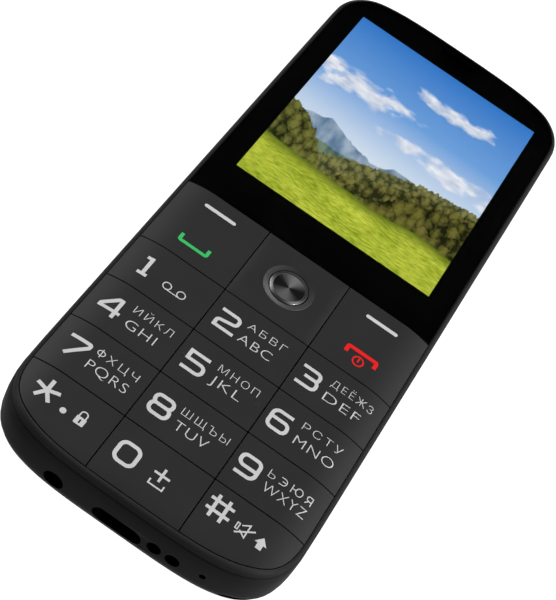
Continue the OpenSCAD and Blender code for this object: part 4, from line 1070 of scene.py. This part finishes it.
for key, (column, row, digit, print_x, print_y, words) in KEY_PRINTS.items():
    joins = bmesh.new()
    add_rod(joins, column * COLUMN_MIDDLE, ROW_MIDDLES[row], STEM_R, STEM_BASE, STEM_TOP)
    if key == "key_5":
        for pip_x in (-PIP_X, PIP_X):
            add_pip(joins, pip_x, ROW_MIDDLES[row])
    finish_cap(key, column, row, joins, key_plastic)
    sign = bmesh.new()
    ink(sign, digit_print(digit, print_x, print_y))
    for i, word in enumerate(words):
        add_word(sign, *word, *(LOWER_STYLE if i == 1 else UPPER_STYLE))
    for slabs in SMALL_SIGNS[key]() if key in SMALL_SIGNS else []:
        ink(sign, slabs)
    finish_print("print_" + key, sign, key, white_print)

# Soft and call pads: the tall side pads of the top row, each with a soft-key bar above and a call sign below.
# Same moulded caps with a faint hairline finish across; each rocks on a rib between its two domes.
HAIRLINE = (90.0, 3600.0, 90.0)
HAIRLINE_DETAIL, HAIRLINE_DEPTH = 2.0, 0.004
PAD_STEM_Y = 6.0
SOFT_BARS = ((-17.6, "key_soft_call"), (17.2, "key_soft_end"))
SOFT_BAR_Y, SOFT_BAR_REACH, SOFT_BAR_W = -3.45, 2.92, 0.78
CALL_PATH = [(-20.43, -12.0, 0), (-20.43, -13.6, 0.3), (-14.83, -13.6, 0.3), (-14.83, -12.0, 0)]
END_PATH = [(14.3, -13.1, 0), (14.3, -11.55, 0.3), (20.1, -11.55, 0.3), (20.1, -13.1, 0)]
CALL_STROKE, END_STROKE = 0.67, 0.75
END_RING = (17.14, -13.64, 1.0, 1.0, 0.3)
END_TICK = (17.14, -13.9, 17.14, -12.9, 0.3)
soft_plastic = grained("soft_pad_plastic", KEY_GREY, KEY_ROUGH, KEY_GLOSS)
soft_tree = soft_plastic.node_tree
soft_spread = add_node(soft_tree, "ShaderNodeMapping", {"Vector": object_place(soft_tree), "Scale": HAIRLINE})
hairs = noise(soft_tree, soft_spread.outputs[0], 1.0, HAIRLINE_DETAIL)
hair_bump = add_node(soft_tree, "ShaderNodeBump", {"Distance": HAIRLINE_DEPTH * MM, "Height": hairs,
                                                   "Normal": shader_source(soft_tree, "Normal")})
set_shader(soft_tree, {"Normal": hair_bump.outputs[0]})
for side, name in ((-1, "key_soft_call"), (1, "key_soft_end")):
    stems = bmesh.new()
    for way in (-1, 1):
        add_rod(stems, side * COLUMN_MIDDLE, ROW_MIDDLES[0] + way * PAD_STEM_Y, STEM_R, STEM_BASE, STEM_TOP)
    finish_cap(name, side, 0, stems, soft_plastic)
for middle_x, name in SOFT_BARS:
    soft_bar = bmesh.new()
    bar_ends = middle_x - SOFT_BAR_REACH, middle_x + SOFT_BAR_REACH
    round_ends = [disc(x, SOFT_BAR_Y, SOFT_BAR_W / 2) for x in bar_ends]
    ink(soft_bar, [bar(bar_ends[0], SOFT_BAR_Y, bar_ends[1], SOFT_BAR_Y, SOFT_BAR_W), *round_ends])
    finish_print("bar_" + name, soft_bar, name, white_print)
call_sign = bmesh.new()
ink(call_sign, [stroke(CALL_PATH, CALL_STROKE)])
finish_print("sign_call", call_sign, "key_soft_call", green_print)
end_sign = bmesh.new()
ink(end_sign, [stroke(END_PATH, END_STROKE), hoop(*END_RING), bar(*END_TICK)])
finish_print("sign_end", end_sign, "key_soft_end", red_print)

# Direction pad: the square pad of the top row with a raised ring round the middle button.
# Moulded like the keys, with two stems. It tilts four ways on its carrier, so its underside is raked.
PAD_HOLE_R = 3.82
PAD_POINTS = 96
PAD_RAKE = 0.5
PAD_EDGE = 0.02
RING_R = 4.82
RING_TOP, RING_LOW = 12.68, 12.5
RING_ROUND, RING_FLAT = 0.05, 0.12
RING_LIMIT = 4.86
RING_TONE = 0.022
# A painted highlight fan is its bearing in degrees, its sharpness and its gain.
RING_PAINTED_HIGHLIGHTS = ((243.0, 3.0, 0.11), (165.0, 2.0, 0.03), (325.0, 2.0, 0.03))
NAV_STEM_X, NAV_STEM_R = 6.205, 1.1
# A ring of the pad is its radius, its height and its share of the way to the square edge.
PAD_RINGS = (
    (PAD_HOLE_R, KEY_BASE, 0.0), (PAD_HOLE_R, RING_LOW - PAD_EDGE, 0.0),
    (PAD_HOLE_R + PAD_EDGE, RING_LOW, 0.0), (RING_R - RING_FLAT, RING_TOP - 0.01, 0.0),
    (RING_R - RING_ROUND, RING_TOP, 0.0), (RING_R, RING_TOP - RING_ROUND, 0.0),
    (RING_R + RING_ROUND, FACE_Z, 0.0), (RING_R + RING_FLAT, FACE_Z, 0.0), (RING_R + RING_FLAT, FACE_Z, 0.5),
    (RING_R, FACE_Z, 0.99), (RING_R, FACE_Z - PAD_EDGE, 1.0), (RING_R, KEY_BASE + PAD_RAKE, 1.0),
    (RING_R, KEY_BASE, 0.75),
)
pad_middle = Vector((0.0, ROW_MIDDLES[0]))
pad_half_x = COLUMN_SEAM - KEY_SEAM / 2
pad_half_y = (ROW_EDGES[0] - ROW_EDGES[1] - KEY_SEAM) / 2


def around_middle(tree, z):
    """Place from the middle of the pad at a height, and the bearing round it."""
    middle = (0.0, -ROW_MIDDLES[0] * MM, -z * MM)
    inputs = {0: object_place(tree), 1: middle}
    place = add_node(tree, "ShaderNodeVectorMath", inputs, operation="ADD").outputs[0]
    xyz = add_node(tree, "ShaderNodeSeparateXYZ", {0: place}).outputs
    return place, math_node(tree, "ARCTAN2", xyz[1], xyz[0])


def length(tree, place):
    """Distance of a place from nought."""
    return add_node(tree, "ShaderNodeVectorMath", {0: place}, operation="LENGTH").outputs["Value"]


def painted_highlights(tree, bearing, base, highlight_fans):
    """Tone of a face with painted highlights: a base tone with brighter fans painted at given bearings, as a
    circular grain would catch the light.
    """
    tone = base
    for degrees, sharp, gain in highlight_fans:
        facing = math_node(tree, "COSINE", math_node(tree, "SUBTRACT", bearing, math.radians(degrees)))
        fan = math_node(tree, "POWER", math_node(tree, "MAXIMUM", facing, 0.0), sharp)
        tone = math_node(tree, "MULTIPLY_ADD", fan, gain, tone)
    return tone


def grey(tree, tone):
    """A colour of one tone."""
    return add_node(tree, "ShaderNodeCombineColor", {0: tone, 1: tone, 2: tone}).outputs[0]


def pad_ring(r, z, square):
    """A ring of the pad that passes from round to the square edge of the pad."""
    points = []
    for i in range(PAD_POINTS):
        turn = math.tau * i / PAD_POINTS
        c, s = math.cos(turn), math.sin(turn)
        reach = max(abs(c), abs(s))
        edge = Vector((c / reach * pad_half_x, s / reach * pad_half_y))
        flat = pad_middle + Vector((c * r, s * r)).lerp(edge, square)
        points.append(Vector((*flat, z)))
    return points


pad_plastic = grained("pad_plastic", KEY_GREY, KEY_ROUGH, KEY_GLOSS)
pad_tree = pad_plastic.node_tree
pad_place, pad_bearing = around_middle(pad_tree, FACE_Z)
# Painted highlights: the ring is lighter in fans at fixed bearings, mixed into its colour.
ring_tone_and_painted_highlights = grey(pad_tree, painted_highlights(pad_tree, pad_bearing, RING_TONE, RING_PAINTED_HIGHLIGHTS))
on_ring = math_node(pad_tree, "LESS_THAN", length(pad_tree, pad_place), RING_LIMIT * MM)
pad_grain = shader_source(pad_tree, "Base Color")
set_shader(pad_tree, {"Base Color": mix_color(pad_tree, on_ring, pad_grain, ring_tone_and_painted_highlights)})
nav_stems = bmesh.new()
for way in (-1, 1):
    add_rod(nav_stems, way * NAV_STEM_X, ROW_MIDDLES[0], NAV_STEM_R, STEM_BASE, STEM_TOP)
nav_cap = carve(ring_loft([pad_ring(*ring) for ring in PAD_RINGS], closed=True), nav_stems, "UNION")
finish_piece("cap_nav", nav_cap, "nav_plate", "key_plastic", pad_plastic, "nav_plate")

# Middle button: a spun metal disc with a turned bevel, on its own dome.
# Turned aluminium with a fine conical grain; the rays of light on the disc and the bright fans on the bevel
# are painted highlights in its colour, set by bearing round the middle.
DISC_R = 2.98
BUTTON_STEPS = 96
BUTTON_PROFILE = ((0.0, 12.5), (2.96, 12.56), (3.02, 12.62), (3.1, 12.7), (3.18, 12.7), (3.6, 12.6),
                  (3.66, 12.5), (3.66, 10.7), (1.7, 10.7), (1.7, 9.0), (0.0, 9.0))
SPIN_WELD = 0.0005
BEVEL_TONE = 0.05
# Painted highlights: bright fans on the bevel and rays across the disc, set in the colour by bearing.
BEVEL_PAINTED_HIGHLIGHTS = ((209.0, 12.0, 0.32), (313.0, 12.0, 0.28), (80.0, 4.0, 0.05))
RAY_PAINTED_HIGHLIGHTS = ((80.0, 6.0, 0.10),)
RAY_FANS = 2.0
RAY_SCALE, RAY_DETAIL, RAY_UNEVEN = 6.0, 5.0, 0.5
RAY_RANGE, PAINTED_RAY_TONES = (-0.7, 1.0), (0.21, 0.010)
BUTTON_METALLIC, BUTTON_ROUGH = 0.6, 0.36


def turned(profile, x, y, steps):
    """A solid spun from a profile of radius and height."""
    bm = bmesh.new()
    verts = [bm.verts.new((x + r, y, z)) for r, z in profile]
    edges = [bm.edges.new(pair) for pair in zip(verts, verts[1:])]
    bmesh.ops.spin(bm, geom=verts + edges, cent=(x, y, 0), axis=(0, 0, 1), angle=math.tau, steps=steps,
                   use_merge=True)
    bmesh.ops.remove_doubles(bm, verts=bm.verts, dist=SPIN_WELD)
    bmesh.ops.recalc_face_normals(bm, faces=bm.faces)
    return bm


button_metal, metal = new_material("button_metal")
button_place, bearing = around_middle(metal, 0.0)
# Painted highlight: two rays of light across the disc, made uneven by noise.
painted_ray = math_node(metal, "COSINE", math_node(metal, "MULTIPLY", bearing, RAY_FANS))
painted_ray_noise = add_node(metal, "ShaderNodeTexNoise", {"W": bearing, "Scale": RAY_SCALE, "Detail": RAY_DETAIL},
                     noise_dimensions="1D").outputs[0]
uneven_painted_ray = math_node(metal, "MULTIPLY_ADD", painted_ray_noise, RAY_UNEVEN, painted_ray)
painted_ray_tone = painted_highlights(metal, bearing, map_range(metal, uneven_painted_ray, RAY_RANGE, PAINTED_RAY_TONES), RAY_PAINTED_HIGHLIGHTS)
# Painted highlight: the bevel is lighter in fans at fixed bearings.
painted_bevel_tone = painted_highlights(metal, bearing, BEVEL_TONE, BEVEL_PAINTED_HIGHLIGHTS)
flat_place = add_node(metal, "ShaderNodeVectorMath", {0: button_place, 1: (1.0, 1.0, 0.0)},
                      operation="MULTIPLY").outputs[0]
on_bevel = math_node(metal, "GREATER_THAN", length(metal, flat_place), DISC_R * MM)
painted_button_tone = add_node(metal, "ShaderNodeMix", {0: on_bevel, 2: painted_ray_tone, 3: painted_bevel_tone}).outputs[0]
set_shader(metal, {"Base Color": grey(metal, painted_button_tone), "Metallic": BUTTON_METALLIC,
                   "Roughness": BUTTON_ROUGH})
button = turned(BUTTON_PROFILE, 0.0, ROW_MIDDLES[0], BUTTON_STEPS)
finish_piece("button_disc", button, "ok_button", "button_metal", button_metal, "ok_button")

# Inner pieces and back fittings: the parts behind the face and in the battery bay keep their built shape.
# Each class of material has its own finish; the steel shell of the charging socket gets the painted shade
# black of its opening instead of its own.
INNER_GRAIN = 0.003
# A finish is its name, colour, roughness and metal share, and the pieces that have it.
INNER_FINISHES = (
    ("board_green", (0.010, 0.085, 0.037), 0.42, 0.0, ("main_board",)),
    ("stamped_steel", (0.55, 0.56, 0.57), 0.30, 1.0,
     ("shield_can", "key_domes", "battery_contacts", "sim_socket_left", "sim_socket_right", "card_socket",
      "screws", "vibration_motor")),
    ("moulded_black", (0.012, 0.012, 0.013), 0.45, 0.0, ("loudspeaker", "camera_module")),
    ("dark_moulding", (0.003, 0.003, 0.003), 0.5, 0.0, ("audio_jack", "earpiece", "microphone")),
    ("black_mesh", (0.0006, 0.0006, 0.0006), 0.8, 0.0, ("earpiece_mesh", "speaker_mesh", "display_pad")),
    ("sintered_weight", (0.16, 0.16, 0.155), 0.5, 1.0, ("motor_weight",)),
    ("battery_wrap", (0.035, 0.055, 0.085), 0.5, 0.0, ("battery",)),
    ("amber_film", (0.34, 0.15, 0.03), 0.4, 0.0, ("display_flex", "dome_film")),
    ("white_moulding", (0.74, 0.74, 0.72), 0.4, 0.0, ("backlight_unit", "key_leds", "flash_led")),
    ("black_silicone", (0.008, 0.008, 0.008), 0.7, 0.0, ("key_mat",)),
    ("grey_carrier", (0.10, 0.10, 0.105), 0.5, 0.0, ("nav_base", "antenna")),
    ("clear_fitting", (0.30, 0.30, 0.28), 0.2, 0.0, ("flash_guide",)),
    ("camera_black_glass", (0.004, 0.004, 0.005), 0.08, 0.0, ("camera_window",)),
    ("camera_trim", (0.30, 0.30, 0.31), 0.28, 1.0, ("camera_ring",)),
)
# Painted shade: the socket shell takes the near black of the port insides.
dress("usb_socket", painted_port_shade)
for finish, color, rough, metallic, nodes in INNER_FINISHES:
    material = grained(finish, color, rough, depth=INNER_GRAIN, metallic=metallic)
    for node in nodes:
        dress(node, material)

# Stage: a white floor and a white backdrop to just above eye level, under a dark ceiling with soft lamps.
# The lens mirrors the dark ceiling to the camera, as a studio's black flag does.
# The floor is clear white to the camera; to what mirrors it, it glows a little less near the phone, a painted
# shade under it.
FLOOR_SIZE, FLOOR_STEPS, FLOOR_Z = 3.0, 4, -0.0002
FLOOR_TONE = 0.32
FLOOR_GLOW, GLOW_REACH = 0.86, (0.25, 1.2)
CEILING_EDGE = 0.1
CEILING_LEVEL = 0.003
# A lamp is its name, place in metres, size and power.
LAMPS = (
    ("lamp_left", (-0.66, 0.40, 0.72), 0.45, 7.2),
    ("lamp_right", (0.66, 0.44, 0.72), 0.45, 7.2),
    ("lamp_low_right", (1.00, -0.35, 0.08), 0.3, 13.0),
    ("lamp_low_left", (-1.00, -0.35, 0.08), 0.3, 5.5),
)
AIM = Vector((0.0, 0.0, 0.006))

floor_bm = bmesh.new()
bmesh.ops.create_grid(floor_bm, x_segments=FLOOR_STEPS, y_segments=FLOOR_STEPS, size=FLOOR_SIZE / 2)
bmesh.ops.translate(floor_bm, vec=(0, 0, FLOOR_Z), verts=floor_bm.verts)
floor_mesh = bpy.data.meshes.new("floor")
floor_bm.to_mesh(floor_mesh)
floor_bm.free()
floor = bpy.data.objects.new("floor", floor_mesh)
bpy.context.scene.collection.objects.link(floor)
floor_white, ground = new_material("floor_white")
ground.nodes.clear()
floor_ray = add_node(ground, "ShaderNodeLightPath", {}).outputs
floor_side = add_node(ground, "ShaderNodeNewGeometry", {}).outputs
matt = add_node(ground, "ShaderNodeBsdfDiffuse", {"Color": (FLOOR_TONE, FLOOR_TONE, FLOOR_TONE, 1.0)})
in_mirror = math_node(ground, "MAXIMUM", floor_ray["Is Glossy Ray"], floor_ray["Is Transmission Ray"])
# Painted shade: in reflections the floor's glow is lower near the phone and rises to full white further out.
mirror_white_with_painted_shade = map_range(ground, length(ground, object_place(ground)), GLOW_REACH, (FLOOR_GLOW, 1.0))
mirrored = math_node(ground, "MULTIPLY", in_mirror, mirror_white_with_painted_shade)
level = math_node(ground, "MAXIMUM", mirrored, floor_ray["Is Camera Ray"])
glow = add_node(ground, "ShaderNodeEmission", {"Strength": level})
bright = add_node(ground, "ShaderNodeAddShader", {0: matt.outputs[0], 1: glow.outputs[0]})
clear = add_node(ground, "ShaderNodeBsdfTransparent", {})
one_sided = add_node(ground, "ShaderNodeMixShader",
                     {0: floor_side["Backfacing"], 1: bright.outputs[0], 2: clear.outputs[0]})
add_node(ground, "ShaderNodeOutputMaterial", {0: one_sided.outputs[0]})
floor.data.materials.append(floor_white)

for name, place, size, power in LAMPS:
    lamp_data = bpy.data.lights.new(name, "AREA")
    lamp_data.shape = "DISK"
    lamp_data.size = size
    lamp_data.energy = power
    lamp = bpy.data.objects.new(name, lamp_data)
    lamp.location = place
    lamp.rotation_euler = (AIM - Vector(place)).to_track_quat("-Z", "Y").to_euler()
    bpy.context.scene.collection.objects.link(lamp)

world = bpy.data.worlds.new("studio")
bpy.context.scene.world = world
world.use_nodes = True
studio = world.node_tree
studio_ray = add_node(studio, "ShaderNodeLightPath", {}).outputs
studio_way = add_node(studio, "ShaderNodeTexCoord", {}).outputs["Generated"]
studio_height = add_node(studio, "ShaderNodeSeparateXYZ", {0: studio_way}).outputs[2]
backdrop = math_node(studio, "LESS_THAN", studio_height, CEILING_EDGE)
in_mirror = math_node(studio, "MAXIMUM", studio_ray["Is Glossy Ray"], studio_ray["Is Transmission Ray"])
mirrored = math_node(studio, "MULTIPLY", in_mirror, backdrop)
lit = math_node(studio, "MAXIMUM", studio_ray["Is Camera Ray"], mirrored)
plug(studio, studio.nodes["Background"],
     {"Color": (1.0, 1.0, 1.0, 1.0), "Strength": map_range(studio, lit, end=(CEILING_LEVEL, 1.0))})
bpy.context.scene.view_settings.view_transform = "Standard"

# Camera: stands before the lower left corner of the phone and looks down on the face.
# Its place and turn were fitted to the corners of screen, keys and case in the photograph.
CAMERA_PLACE = Vector((11.658, -198.844, 215.291)) * MM
CAMERA_RIGHT = Vector((0.822713, 0.447925, 0.35001))
CAMERA_UP = Vector((-0.56676, 0.598787, 0.565895))
CAMERA_BACK = Vector((0.043897, -0.663941, 0.746495))
CAMERA_LENS, CAMERA_SENSOR = 93.95, 36.0
camera_data = bpy.data.cameras.new("camera")
camera_data.lens = CAMERA_LENS
camera_data.sensor_width = CAMERA_SENSOR
camera = bpy.data.objects.new("camera", camera_data)
turn_columns = Matrix((CAMERA_RIGHT, CAMERA_UP, CAMERA_BACK)).transposed()
camera.matrix_world = Matrix.Translation(CAMERA_PLACE) @ turn_columns.to_4x4()
bpy.context.scene.collection.objects.link(camera)
bpy.context.scene.camera = camera
